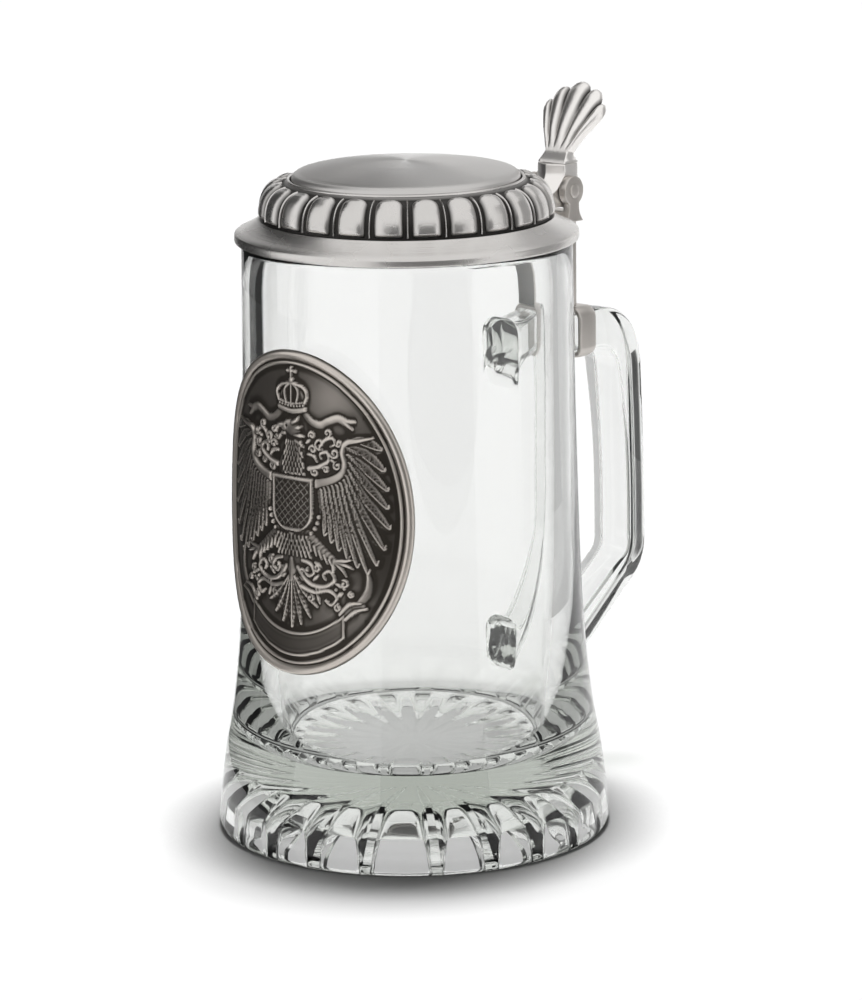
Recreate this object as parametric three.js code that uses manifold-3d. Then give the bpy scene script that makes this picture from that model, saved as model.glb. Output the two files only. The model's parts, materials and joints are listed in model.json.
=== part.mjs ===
// Lidded beer stein of pressed glass with pewter fittings. Millimetres, Z up, standing on z = 0.
// The handle points along +X, the oval badge faces -X, and the lid's hinge runs along Y.
import * as THREE from 'three';
import { mergeVertices } from 'three/addons/utils/BufferGeometryUtils.js';
import Module from 'manifold-3d';

// Clearances
const seatGap = 0.3;
const hingeGap = 0.3;

// Glass body: radii from the axis, heights above the table
const rimRadius = 42.3;
const rimHeight = 154.2;
const rimRound = 1.4;
const wallThickness = 4.9;
const barrelRadius = 42.85;
const barrelHeight = 112;
const waistRadius = 44.2;
const waistHeight = 63;
const flareRadius = 46.3;
const flareHeight = 37;
const flareBow = 0.4;
const footRadius = 51.1;
const footHeight = 3.4;
const footRoll = 1.7;
const boreRadiusLow = 36.2;
const floorHeight = 20.5;
const floorRadius = 28.5;
const floorRise = 11;

// Recess under the foot: flutes round its edge between ribs that run out towards the middle
const fluteCount = 22;
const fluteTurn = THREE.MathUtils.degToRad(-131.3);
const fluteHub = 12;
const fluteCrest = 38.5;
const fluteOuter = 45.6;
const fluteDepth = 12.6;
const fluteEnd = 7.3;
const fluteWall = 0.4;
const fluteRim = 1.4;
const recessDepth = 11.2;
const undersideLift = 0.9;
const fluteSteps = [0, 0.9, 1, 0.9];
const ribRun = [0, 0.4, 0.72, 1];
const ribDrop = [1, 0.88, 0.59, 0.1];
const boreSegments = 72;

// Glass handle: a bar along a bent line in the plane y = 0, thickened where it meets the wall
const handleWidth = 12;
const handleBevel = 2.2;
const handleReach = 92.1;
const handleSteps = 42;
const gripThickness = 8.4;
const gripLean = 3.8;
const gripMiddle = 83;
const gripBottom = 55.2;
const limbTop = 126;
const limbDepth = 10.8;
const slantDepth = 9.2;
const lowerRootHeight = 33.8;
const bendTop = 13;
const bendMiddle = 16;
const bendLow = 4.5;
const bendRoot = 9;
const rootReach = 11;
const rootFlare = 6.4;

// Pewter collar and strap on the upper limb, the collar just short of the handle's bend
const collarClear = 2.3;
const collarLength = 6.8;
const collarWall = 1;
const strapWidth = 9.4;
const strapThickness = 2.6;
const strapInset = 1.9;

// Hinge
const hingeSet = 4;
const hingeRise = 5.1;
const knuckleWidth = 9.3;
const knuckleRound = 4.65;
const pinRadius = 1.9;
const cheekThickness = 2.2;
const cheekRound = 3.95;
const cheekWaist = 2.1;
const cheekFoot = 3.4;
const yokeDrop = 8.3;
const yokeDepth = 2.9;

// Lid flange and gadrooned border
const flangeRadius = 44;
const flangeBand = 2.1;
const borderRadius = 38.1;
const borderRise = 5.4;
const lobeCount = 24;
const lobeHeight = 1.1;
const lobePhase = THREE.MathUtils.degToRad(10.9);
const lobeSteps = [0.45, 0, 0.95, 0.95, 0];
const beadRadius = 30.1;
const beadRise = 15.5;
const lidWall = 1.7;

// Turned dome set in the border
const domeRadius = 29.2;
const domeEdge = 1.4;
const domeShoulderRise = 2;
const domeShoulderIn = 2.6;
const domeCrown = 4.4;
const domeRoll = 0.5;
const domeBow = 0.42;
const domeLedge = 3;
const domeFloor = 1.5;

// Tang between lid and hinge
const tangRise = 6.9;
const tangFront = 0.9;
const tangLip = 2.4;
const tangSweep = 1.2;
const tangRidge = 0.7;
const armDrop = 0.7;
const armTip = 2;
const armLift = 0.7;

// Thumblift fan
const fanLean = THREE.MathUtils.degToRad(16.7);
const fanLength = 19.2;
const fanSpread = THREE.MathUtils.degToRad(15);
const fanLobeRadius = 2.6;
const fanNeckRadius = 1.7;
const fanRootPitch = 1.1;
const fanFootHeight = 2.4;
const fanFootDepth = 5.4;
const fanCurl = 0.019;
const fanReach = [0.78, 0.95, 1, 0.95, 0.78];

// Oval badge and its adhesive pad
const badgeWidth = 65;
const badgeHeight = 83;
const badgeCentre = 91;
const badgeThickness = 1.9;
const badgeFieldDepth = 0.9;
const badgeBead = 0.5;
const padThickness = 0.5;
const padInset = 3;

// Places that follow from the sizes above
const limbMiddle = limbTop - limbDepth / 2;
const gripCentre = handleReach - gripThickness / 2;
const collarStart = gripCentre - gripLean - bendTop - collarClear - collarLength;
const strapOuter = collarStart + strapInset;
const hingeRadius = strapOuter - hingeSet;
const hingeHeight = rimHeight + hingeRise;
const yokeBottom = hingeHeight - yokeDrop;
const yokeTop = yokeBottom + yokeDepth;
const tangTop = hingeHeight + tangRise;
const armTop = hingeHeight - armDrop;

const wasm = await Module();
wasm.setup();

// Turns a closed three.js geometry into a solid for joining and cutting
function solidOf(geometry) {
  const bare = geometry.clone();
  bare.deleteAttribute('normal');
  bare.deleteAttribute('uv');
  const merged = mergeVertices(bare, 1e-4);
  const triangles = [];
  const index = merged.index.array;
  for (let i = 0; i < index.length; i += 3) {
    const [a, b, c] = [index[i], index[i + 1], index[i + 2]];
    if (a !== b && b !== c && c !== a) triangles.push(a, b, c);
  }
  const vertProperties = new Float32Array(merged.attributes.position.array);
  const triVerts = new Uint32Array(triangles);
  return new wasm.Manifold(new wasm.Mesh({ numProp: 3, vertProperties, triVerts }));
}

// Turns a solid back into a geometry
function geometryOf(solid) {
  const mesh = solid.getMesh();
  const geometry = new THREE.BufferGeometry();
  geometry.setAttribute('position', new THREE.BufferAttribute(mesh.vertProperties, 3));
  geometry.setIndex(new THREE.BufferAttribute(mesh.triVerts, 1));
  geometry.computeVertexNormals();
  return geometry;
}

// A turned form about Z from points of radius and height, column 0 facing -Y;
// shape(point, column, row) may move each point before it is turned
function turned(points, segments, shape) {
  const geometry = new THREE.LatheGeometry(points, segments);
  const position = geometry.attributes.position;
  const rows = points.length;
  for (let i = 0; shape && i < position.count; i += 1) {
    const column = Math.floor(i / rows) % segments;
    const moved = shape(points[i % rows].clone(), column, i % rows);
    const angle = (column / segments) * 2 * Math.PI;
    position.setXYZ(i, moved.x * Math.sin(angle), moved.y, moved.x * Math.cos(angle));
  }
  return geometry.rotateX(Math.PI / 2);
}

// A plate with an outline in X and Z, centred on y
function plate(shape, width, y = 0, options = {}) {
  const geometry = new THREE.ExtrudeGeometry(shape, { depth: width, bevelEnabled: false, ...options });
  return geometry.translate(0, 0, -width / 2).rotateX(Math.PI / 2).translate(0, y, 0);
}

function vectors(pairs) {
  return pairs.map(([x, y]) => new THREE.Vector2(x, y));
}

const glass = new THREE.MeshStandardMaterial({ color: 0xdfe7e2, roughness: 0.04, metalness: 0 });
const pewter = new THREE.MeshStandardMaterial({ color: 0xa9a7a3, roughness: 0.38, metalness: 1 });
const darkPewter = new THREE.MeshStandardMaterial({ color: 0x6f6862, roughness: 0.42, metalness: 1 });
const foam = new THREE.MeshStandardMaterial({ color: 0xd8d8d4, roughness: 0.9, metalness: 0 });

// The part's origin lies under the middle of its length, from foot to handle
const stein = new THREE.Group();
stein.position.x = (footRadius - handleReach) / 2;

function addPart(name, geometry, material) {
  const mesh = new THREE.Mesh(geometry, material.clone());
  mesh.name = name;
  stein.add(mesh);
}

// Outer wall of the body, from the foot to the rim
const wallCurve = new THREE.SplineCurve(vectors([
  [footRadius, footHeight],
  [(footRadius + flareRadius) / 2 + flareBow, (footHeight + flareHeight) / 2],
  [flareRadius, flareHeight],
  [waistRadius, waistHeight],
  [barrelRadius, barrelHeight],
  [rimRadius, rimHeight - rimRound],
]));
const wallPoints = wallCurve.getPoints(10);

function wallRadius(height) {
  const next = Math.max(1, wallPoints.findIndex((point) => point.y >= height));
  const low = wallPoints[next - 1];
  const high = wallPoints[next];
  return THREE.MathUtils.mapLinear(height, low.y, high.y, low.x, high.x);
}

// Glass: fluted body, handle joined on, bore cut out
const boreRadius = rimRadius - wallThickness;
const underside = vectors([
  [0, undersideLift + recessDepth],
  ...ribRun.map((share) => [fluteHub + (fluteCrest - fluteHub) * share, undersideLift]),
  [fluteOuter, undersideLift],
  [fluteOuter + fluteWall, undersideLift],
  [fluteOuter + fluteRim, 0],
  [footRadius - footRoll, 0],
  [footRadius - footRoll * 0.3, footHeight * 0.35],
]);
const bodyPoints = [
  ...underside,
  ...wallPoints,
  new THREE.Vector2(rimRadius - rimRound * 0.3, rimHeight - rimRound * 0.3),
  new THREE.Vector2(rimRadius - rimRound, rimHeight),
  new THREE.Vector2(0, rimHeight),
];
const fluteSegments = fluteCount * fluteSteps.length;
const endRow = ribRun.length + 1;
const body = turned(bodyPoints, fluteSegments, (point, column, row) => {
  if (row > 0 && row <= endRow) {
    const rib = row === endRow ? 0 : recessDepth * ribDrop[row - 1];
    const flute = row === endRow ? fluteEnd : THREE.MathUtils.lerp(recessDepth, fluteDepth, ribRun[row - 1]);
    point.y += THREE.MathUtils.lerp(rib, flute, fluteSteps[column % fluteSteps.length]);
  }
  return point;
});
body.rotateZ(fluteTurn + Math.PI / 2);

const borePath = new THREE.Path();
borePath.moveTo(0, floorHeight);
borePath.lineTo(floorRadius, floorHeight + 0.3);
borePath.quadraticCurveTo(boreRadiusLow - 0.6, floorHeight + 1, boreRadiusLow, floorHeight + floorRise);
borePath.lineTo(boreRadius, rimHeight - rimRound);
borePath.lineTo(boreRadius + rimRound * 0.8, rimHeight);
borePath.lineTo(boreRadius + rimRound * 0.8, rimHeight + rimRound);
borePath.lineTo(0, rimHeight + rimRound);
const bore = turned(borePath.getPoints(5), boreSegments);

// A line through corner points, each corner rounded over its own run
function bentLine(corners, runs) {
  const line = new THREE.CurvePath();
  let from = corners[0];
  runs.forEach((run, i) => {
    const corner = corners[i + 1];
    const before = corner.clone().add(corners[i].clone().sub(corner).setLength(run));
    const after = corner.clone().add(corners[i + 2].clone().sub(corner).setLength(run));
    line.add(new THREE.LineCurve(from, before));
    line.add(new THREE.QuadraticBezierCurve(before, corner, after));
    from = after;
  });
  line.add(new THREE.LineCurve(from, corners[corners.length - 1]));
  return line;
}
const rootDeep = boreRadius / 2;
const handleLine = bentLine(vectors([
  [rootDeep, limbMiddle],
  [gripCentre - gripLean, limbMiddle],
  [gripCentre, gripMiddle],
  [gripCentre, gripBottom],
  [wallRadius(lowerRootHeight) + rootReach, lowerRootHeight],
  [rootDeep, lowerRootHeight],
]), [bendTop, bendMiddle, bendLow, bendRoot]);

// Half the bar's depth: full on the upper limb, slim on the grip, flaring into the wall at both roots
function handleHalfDepth(point) {
  const upper = THREE.MathUtils.smoothstep(point.y, gripMiddle, limbMiddle);
  const lower = 1 - THREE.MathUtils.smoothstep(point.y, lowerRootHeight, gripBottom);
  const wall = wallRadius(point.y);
  const nearWall = 1 - THREE.MathUtils.smoothstep(point.x, wall, wall + rootReach);
  const depth = gripThickness + upper * (limbDepth - gripThickness) + lower * (slantDepth - gripThickness);
  return depth / 2 + rootFlare * nearWall ** 2;
}
const outerEdge = [];
const innerEdge = [];
for (let i = 0; i <= handleSteps; i += 1) {
  const point = handleLine.getPoint(i / handleSteps);
  const tangent = handleLine.getTangent(i / handleSteps);
  const outward = new THREE.Vector2(-tangent.y, tangent.x).multiplyScalar(handleHalfDepth(point));
  outerEdge.push(point.clone().add(outward));
  innerEdge.unshift(point.clone().sub(outward));
}
const handleShape = new THREE.Shape([...outerEdge, ...innerEdge]);
const handle = plate(handleShape, handleWidth - 2 * handleBevel, 0, {
  bevelEnabled: true,
  bevelThickness: handleBevel,
  bevelSize: handleBevel,
  bevelOffset: -handleBevel,
  bevelSegments: 2,
});
const mug = solidOf(body).add(solidOf(handle)).subtract(solidOf(bore));
addPart('glass_mug', geometryOf(mug), glass);

// Collar: a band with rounded corners round the handle's upper limb
function roundedRectangle(halfWidth, halfHeight, corner, shape) {
  shape.moveTo(halfWidth, -halfHeight + corner);
  shape.lineTo(halfWidth, halfHeight - corner);
  shape.quadraticCurveTo(halfWidth, halfHeight, halfWidth - corner, halfHeight);
  shape.lineTo(-halfWidth + corner, halfHeight);
  shape.quadraticCurveTo(-halfWidth, halfHeight, -halfWidth, halfHeight - corner);
  shape.lineTo(-halfWidth, -halfHeight + corner);
  shape.quadraticCurveTo(-halfWidth, -halfHeight, -halfWidth + corner, -halfHeight);
  shape.lineTo(halfWidth - corner, -halfHeight);
  shape.quadraticCurveTo(halfWidth, -halfHeight, halfWidth, -halfHeight + corner);
  return shape;
}
const collarHole = handleWidth / 2 + seatGap;
const collarHoleRise = limbDepth / 2 + seatGap;
const collarTop = limbTop + seatGap + collarWall;
const collarShape = roundedRectangle(
  collarHole + collarWall, collarHoleRise + collarWall, handleBevel + collarWall, new THREE.Shape(),
);
collarShape.holes.push(roundedRectangle(collarHole, collarHoleRise, handleBevel * 0.8, new THREE.Path()));
const collar = new THREE.ExtrudeGeometry(collarShape, {
  depth: collarLength, bevelEnabled: false, curveSegments: 5,
});
collar.rotateX(Math.PI / 2).rotateZ(Math.PI / 2).translate(collarStart, 0, limbMiddle);
addPart('handle_collar', geometryOf(solidOf(collar)), pewter);

// Strap: upright strip, yoke and two hinge cheeks
function boxOf(x0, x1, width, z0, z1) {
  const box = new THREE.BoxGeometry(x1 - x0, width, z1 - z0);
  return solidOf(box.translate((x0 + x1) / 2, 0, (z0 + z1) / 2));
}
function pinSolid(radius, length) {
  const pin = new THREE.CylinderGeometry(radius, radius, length, 24);
  return solidOf(pin.translate(hingeRadius, 0, hingeHeight));
}
const cheekInner = knuckleWidth / 2 + hingeGap;
const yokeWidth = 2 * (cheekInner + cheekThickness);
const strapBottom = collarTop + seatGap;
const footShape = new THREE.Shape(vectors([
  [hingeRadius - cheekFoot, yokeBottom],
  [hingeRadius + cheekFoot + 0.5, yokeBottom],
  [hingeRadius + cheekWaist, hingeHeight - cheekRound * 0.8],
  [hingeRadius - cheekWaist, hingeHeight - cheekRound * 0.8],
]));
const discShape = new THREE.Shape();
discShape.absarc(hingeRadius, hingeHeight, cheekRound, 0, 2 * Math.PI);
let strap = boxOf(strapOuter - strapThickness, strapOuter, strapWidth, strapBottom, yokeTop - 1);
const foot = solidOf(plate(footShape, yokeWidth));
strap = strap.add(foot.subtract(boxOf(0, 2 * hingeRadius, 2 * cheekInner, yokeTop, 2 * hingeHeight)));
for (const side of [-1, 1]) {
  const middle = side * (cheekInner + cheekThickness / 2);
  strap = strap.add(solidOf(plate(discShape, cheekThickness, middle, { curveSegments: 20 })));
}
strap = strap.subtract(pinSolid(pinRadius + hingeGap, 2 * yokeWidth));
addPart('hinge_strap', geometryOf(strap), pewter);

// Pin, its ends just proud of the cheeks
addPart('hinge_pin', geometryOf(pinSolid(pinRadius, yokeWidth + 0.4)), pewter);

// Tang: arm over the flange, block and knuckle, with a shallow ridge down its front
const flangeBottom = rimHeight + seatGap;
const flangeTop = flangeBottom + flangeBand;
const borderFoot = flangeBottom + borderRise;
const armEnd = borderRadius + 2 * seatGap;
const flangeSlope = (borderFoot - flangeTop) / (flangeRadius - borderRadius);
const armSeat = (radius) => borderFoot - (radius - borderRadius) * flangeSlope + 1.2 * seatGap;
const armBottom = flangeBottom + armLift;
const armStep = flangeRadius + 1.2 * seatGap;
const blockFront = hingeRadius - tangFront;
const sweepEnd = (blockFront + flangeRadius) / 2;
const tangShape = new THREE.Shape();
tangShape.moveTo(hingeRadius + knuckleRound, hingeHeight);
tangShape.lineTo(hingeRadius + knuckleRound, tangTop);
tangShape.lineTo(blockFront, tangTop);
tangShape.lineTo(blockFront, tangTop - tangLip);
tangShape.quadraticCurveTo(blockFront - tangSweep, armTop + tangSweep, sweepEnd, armTop);
tangShape.quadraticCurveTo(flangeRadius, armTop, armEnd, armSeat(armEnd) + armTip);
tangShape.lineTo(armEnd, armSeat(armEnd));
tangShape.lineTo(armStep, armSeat(armStep));
tangShape.lineTo(armStep, armBottom);
tangShape.lineTo(hingeRadius - knuckleRound * 0.48, armBottom);
tangShape.absarc(hingeRadius, hingeHeight, knuckleRound, Math.PI * 1.34, Math.PI * 2);
const tangBlock = plate(tangShape, knuckleWidth, 0, { steps: 2, curveSegments: 8 });
const tangPosition = tangBlock.attributes.position;
for (let i = 0; i < tangPosition.count; i += 1) {
  const onMiddle = Math.abs(tangPosition.getY(i)) < 0.01;
  const onFront = tangPosition.getX(i) < blockFront + 0.01 && tangPosition.getZ(i) > armTop - 0.4;
  if (onMiddle && onFront) {
    const rise = THREE.MathUtils.smoothstep(tangPosition.getX(i), flangeRadius, blockFront);
    tangPosition.setX(i, tangPosition.getX(i) - tangRidge * rise);
  }
}
const tang = solidOf(tangBlock).subtract(pinSolid(pinRadius + hingeGap, 2 * yokeWidth));
addPart('lid_tang', geometryOf(tang), pewter);

// Thumblift: five ribs fanned from a neck, curling outwards, on a flared foot
const fanBase = new THREE.Vector3(hingeRadius + 2, 0, tangTop + seatGap);
const fanFoot = new THREE.CylinderGeometry(0.72, 1, fanFootHeight, 4);
fanFoot.rotateY(Math.PI / 4).rotateX(Math.PI / 2);
fanFoot.scale(fanFootDepth / Math.SQRT2, knuckleWidth / Math.SQRT2, 1);
fanFoot.translate(fanBase.x, 0, fanBase.z + fanFootHeight / 2);
let fan = solidOf(fanFoot);
fanReach.forEach((reach, rib) => {
  const side = rib - (fanReach.length - 1) / 2;
  const length = fanLength * reach;
  const tip = length - fanLobeRadius;
  const ribPoints = vectors([
    [0, 0], [fanNeckRadius, 0.4], [fanNeckRadius, tip * 0.3], [fanLobeRadius * 0.85, tip * 0.72],
    [fanLobeRadius, tip], [fanLobeRadius * 0.7, tip + fanLobeRadius * 0.7], [0, length],
  ]);
  const ribForm = turned(ribPoints, 10).rotateX(-side * fanSpread).rotateY(fanLean);
  const ribPosition = ribForm.attributes.position;
  for (let i = 0; i < ribPosition.count; i += 1) {
    const rise = Math.max(0, ribPosition.getZ(i));
    ribPosition.setX(i, ribPosition.getX(i) + fanCurl * rise * rise);
  }
  ribForm.translate(fanBase.x, side * fanRootPitch, fanBase.z + fanFootHeight * 0.4);
  fan = fan.add(solidOf(ribForm));
});
addPart('thumblift', geometryOf(fan), pewter);

// Border: flange, ring of gadroons and the bead round the dome
const beadTop = flangeBottom + beadRise;
const domeSeat = beadTop - domeFloor;
const lobeTop = beadTop - 1.3;
const lobeRun = borderRadius - lobeHeight - 0.5;
const lobeCurve = new THREE.QuadraticBezierCurve(
  new THREE.Vector2(lobeRun, borderFoot + 1.6),
  new THREE.Vector2(lobeRun + 0.2, lobeTop - 0.6),
  new THREE.Vector2(beadRadius + 1.4, lobeTop),
);
const lobePoints = lobeCurve.getPoints(4);
const borderPoints = [
  ...vectors([
    [lobeRun - lidWall, flangeBottom],
    [flangeRadius, flangeBottom],
    [flangeRadius, flangeTop],
    [borderRadius, borderFoot],
    [lobeRun - 0.2, borderFoot + 0.8],
  ]),
  ...lobePoints,
  ...vectors([
    [beadRadius + 0.9, beadTop - 0.9],
    [beadRadius, beadTop],
    [domeRadius + seatGap, beadTop - 0.4],
    [domeRadius + seatGap, domeSeat],
    [domeRadius - domeLedge, domeSeat],
    [domeRadius - domeLedge, domeSeat - lidWall],
    [beadRadius + 1, domeSeat - lidWall],
    [lobeRun - lidWall, borderFoot + 1],
    [lobeRun - lidWall, flangeBottom],
  ]),
];
const firstLobeRow = 5;
const lobeSegments = lobeCount * lobeSteps.length;
const border = turned(borderPoints, lobeSegments, (point, column, row) => {
  const along = (row - firstLobeRow) / (lobePoints.length - 1);
  if (along >= 0 && along <= 1) {
    const ends = Math.min(1, 4 * (1 - along) * (along + 0.35));
    const swell = lobeHeight * lobeSteps[column % lobeSteps.length] * ends;
    point.x += swell * (1 - along * along);
    point.y += swell * along;
  }
  return point;
});
border.rotateZ(lobePhase + Math.PI / 2);
addPart('lid_border', geometryOf(solidOf(border)), pewter);

// Dome: a shallow turned cap resting on the border's ledge
const domeBottom = domeSeat + seatGap;
const domeLip = domeBottom + domeEdge;
const domeShoulder = domeLip + domeShoulderRise;
const domeTop = domeLip + domeCrown;
const domePath = new THREE.Path();
domePath.moveTo(0, domeBottom);
domePath.lineTo(domeRadius, domeBottom);
domePath.lineTo(domeRadius, domeLip);
domePath.quadraticCurveTo(domeRadius, domeShoulder - domeRoll, domeRadius - domeShoulderIn, domeShoulder);
domePath.quadraticCurveTo(domeRadius * domeBow, domeTop, 0, domeTop);
addPart('lid_dome', geometryOf(solidOf(turned(domePath.getPoints(4), 48))), pewter);

// Lays a turned disc of unit radius as an oval on the glass at a stand-off from it
function layOnGlass(disc, width, height, standOff) {
  const position = disc.attributes.position;
  const bendRadius = wallRadius(badgeCentre) + standOff;
  for (let i = 0; i < position.count; i += 1) {
    const level = badgeCentre + (position.getY(i) * height) / 2;
    const angle = Math.PI + (position.getX(i) * width) / 2 / bendRadius;
    const radius = wallRadius(level) + standOff + position.getZ(i);
    position.setXYZ(i, radius * Math.cos(angle), radius * Math.sin(angle), level);
  }
  return disc;
}
const padSteps = [0.2, 0.4, 0.6, 0.8];
const padPoints = vectors([
  [0, 0], ...padSteps.map((step) => [step, 0]), [1, 0],
  [1, padThickness], ...padSteps.toReversed().map((step) => [step, padThickness]), [0, padThickness],
]);
const pad = layOnGlass(turned(padPoints, 32), badgeWidth - 2 * padInset, badgeHeight - 2 * padInset, seatGap);
addPart('badge_adhesive', geometryOf(solidOf(pad)), foam);

const badgeField = badgeThickness - badgeFieldDepth;
const badgePoints = vectors([
  [0, 0], ...padSteps.map((step) => [step, 0]), [0.985, 0],
  [1, badgeThickness * 0.5], [0.985, badgeThickness * 0.92],
  [0.965, badgeThickness], [0.94, badgeThickness * 0.9],
  [0.925, badgeField], [0.905, badgeField + badgeBead], [0.885, badgeField],
  ...padSteps.toReversed().map((step) => [step, badgeField]), [0, badgeField],
]);
const badge = layOnGlass(turned(badgePoints, 40), badgeWidth, badgeHeight, padThickness + 2 * seatGap);
addPart('badge', geometryOf(solidOf(badge)), darkPewter);

export default stein;
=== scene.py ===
# Lidded pressed-glass beer stein with pewter fittings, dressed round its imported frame
import json
import math

import bmesh
import bpy
import numpy as np
from mathutils import Matrix, Vector


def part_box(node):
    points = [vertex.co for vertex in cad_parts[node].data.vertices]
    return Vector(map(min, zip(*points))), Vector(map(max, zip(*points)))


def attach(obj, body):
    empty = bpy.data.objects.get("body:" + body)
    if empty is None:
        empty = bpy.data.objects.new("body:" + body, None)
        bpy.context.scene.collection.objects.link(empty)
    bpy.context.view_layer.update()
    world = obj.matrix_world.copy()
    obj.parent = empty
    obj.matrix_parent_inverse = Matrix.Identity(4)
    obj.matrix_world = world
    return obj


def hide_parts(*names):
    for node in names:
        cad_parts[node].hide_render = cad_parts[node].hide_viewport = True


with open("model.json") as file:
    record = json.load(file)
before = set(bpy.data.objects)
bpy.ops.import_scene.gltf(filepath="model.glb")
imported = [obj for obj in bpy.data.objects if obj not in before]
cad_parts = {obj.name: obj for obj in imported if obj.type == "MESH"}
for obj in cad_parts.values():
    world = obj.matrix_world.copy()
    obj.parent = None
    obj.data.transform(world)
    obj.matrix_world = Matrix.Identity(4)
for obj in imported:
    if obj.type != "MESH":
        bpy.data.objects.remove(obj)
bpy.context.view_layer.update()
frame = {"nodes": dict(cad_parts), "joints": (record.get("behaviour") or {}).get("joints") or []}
mm = 0.001
borderLow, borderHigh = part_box("lid_border")
axisX = (borderLow.x + borderHigh.x) / 2 / mm  # the mug's own axis, in mm
hingeX, _, hingeZ = [value / mm for value in frame["joints"][0]["pos_m"]]
print("frame loaded, mug axis at x =", round(axisX, 2), "mm")

scene = bpy.context.scene
scene.view_settings.view_transform = "Standard"

# Where the photograph was taken from, millimetres and degrees
photoView = {
    "side": -139.5,  # direction of the camera round the mug, from the handle
    "away": 1168.5,
    "height": 357.2,
    "turn": 40.239,  # direction the camera looks in
    "dip": 13.076,
    "tilt": 0.731,
    "lens": 167.13,
    "sensor": 36.0,
}


def placeCamera(values):
    side, turn, dip, tilt = [math.radians(values[key]) for key in ("side", "turn", "dip", "tilt")]
    ahead = Vector((math.cos(dip) * math.cos(turn), math.cos(dip) * math.sin(turn), -math.sin(dip)))
    right = ahead.cross(Vector((0, 0, 1))).normalized()
    up = right.cross(ahead)
    tiltedRight = right * math.cos(tilt) - up * math.sin(tilt)
    tiltedUp = right * math.sin(tilt) + up * math.cos(tilt)
    data = bpy.data.cameras.new("photoCamera")
    data.lens = values["lens"]
    data.sensor_width = values["sensor"]
    data.clip_start = 0.05
    camera = bpy.data.objects.new("photoCamera", data)
    away = values["away"]
    place = Vector((axisX + away * math.cos(side), away * math.sin(side), values["height"])) * mm
    axes = Matrix((tiltedRight, tiltedUp, -ahead)).transposed()
    camera.matrix_world = Matrix.Translation(place) @ axes.to_4x4()
    scene.collection.objects.link(camera)
    scene.camera = camera


placeCamera(photoView)


# Sockets that plain arithmetic can be written on, in shader and geometry trees alike
class Wire:
    def __init__(self, graph, socket):
        self.graph = graph
        self.socket = socket

    def math(self, operation, *values):
        return self.graph.node("ShaderNodeMath", {"operation": operation}, dict(enumerate(values)))

    def __add__(self, other):
        return self.math("ADD", self, other)

    def __radd__(self, other):
        return self.math("ADD", other, self)

    def __sub__(self, other):
        return self.math("SUBTRACT", self, other)

    def __rsub__(self, other):
        return self.math("SUBTRACT", other, self)

    def __mul__(self, other):
        return self.math("MULTIPLY", self, other)

    def __rmul__(self, other):
        return self.math("MULTIPLY", other, self)

    def __truediv__(self, other):
        return self.math("DIVIDE", self, other)

    def __rtruediv__(self, other):
        return self.math("DIVIDE", other, self)

    def __pow__(self, other):
        return self.math("POWER", self, other)

    def clamp(self):
        return self.math("MINIMUM", self.math("MAXIMUM", self, 0.0), 1.0)


class Graph:
    def __init__(self, tree):
        self.tree = tree

    # settings go in first, then socket values or links; out picks the output that is handed back
    def node(self, kind, settings=None, inputs=None, out=0):
        made = self.tree.nodes.new(kind)
        for key, value in (settings or {}).items():
            setattr(made, key, value)
        for key, value in (inputs or {}).items():
            if isinstance(value, Wire):
                self.tree.links.new(value.socket, made.inputs[key])
            else:
                made.inputs[key].default_value = value
        return Wire(self, made.outputs[out]) if made.outputs else made

    def mix(self, share, first, second):
        return self.node("ShaderNodeMix", {"data_type": "RGBA"}, {0: share, 6: first, 7: second}, 2)

    def attribute(self, name):
        return self.node("ShaderNodeAttribute", {"attribute_name": name}, {}, "Fac")

    def noise(self, vector, scale, detail=2.0):
        return self.node("ShaderNodeTexNoise", {}, {"Vector": vector, "Scale": scale, "Detail": detail})


def newFinish(name):
    material = bpy.data.materials.new(name)
    material.use_nodes = True
    material.node_tree.nodes.clear()
    return material, Graph(material.node_tree)


def finishSurface(graph, shader, volume=None):
    inputs = {"Surface": shader}
    if volume:
        inputs["Volume"] = volume
    graph.node("ShaderNodeOutputMaterial", {}, inputs)


def grey(level, warmth=0.0):
    return (level * (1 + warmth), level, level * (1 - warmth), 1.0)


# Curves, in millimetres
def smoothCurve(points, steps):
    p = np.array(points, float)
    p = np.vstack([p[:1], p, p[-1:]])
    t = np.linspace(0, 1, steps, endpoint=False)[:, None]
    runs = []
    for a, b, c, d in zip(p, p[1:], p[2:], p[3:]):
        leave, arrive = (c - a) / 2, (d - b) / 2
        runs.append(
            (2 * t**3 - 3 * t**2 + 1) * b + (t**3 - 2 * t**2 + t) * leave
            + (3 * t**2 - 2 * t**3) * c + (t**3 - t**2) * arrive
        )
    return np.vstack(runs + [p[-1:]])


def bend(start, control, end, steps):
    t = np.linspace(0, 1, steps + 1)[:, None]
    a, b, c = (np.array(point, float) for point in (start, control, end))
    return (1 - t) ** 2 * a + 2 * t * (1 - t) * b + t**2 * c


def arc(centre, radius, fromDegrees, toDegrees, steps):
    turn = np.radians(np.linspace(fromDegrees, toDegrees, steps + 1))
    return np.column_stack([centre[0] + radius * np.cos(turn), centre[1] + radius * np.sin(turn)])


def bentPath(corners, runs, spacing):
    corners = [np.array(corner, float) for corner in corners]
    pieces = [corners[:1]]
    for i, run in enumerate(runs):
        corner = corners[i + 1]
        before = corner + (corners[i] - corner) / np.linalg.norm(corners[i] - corner) * run
        after = corner + (corners[i + 2] - corner) / np.linalg.norm(corners[i + 2] - corner) * run
        pieces.append(bend(before, corner, after, 12))
    line = np.vstack(pieces + [corners[-1:]])
    along = np.concatenate([[0], np.cumsum(np.linalg.norm(np.diff(line, axis=0), axis=1))])
    even = np.linspace(0, along[-1], int(along[-1] / spacing))
    return np.column_stack([np.interp(even, along, line[:, k]) for k in (0, 1)])


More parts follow.
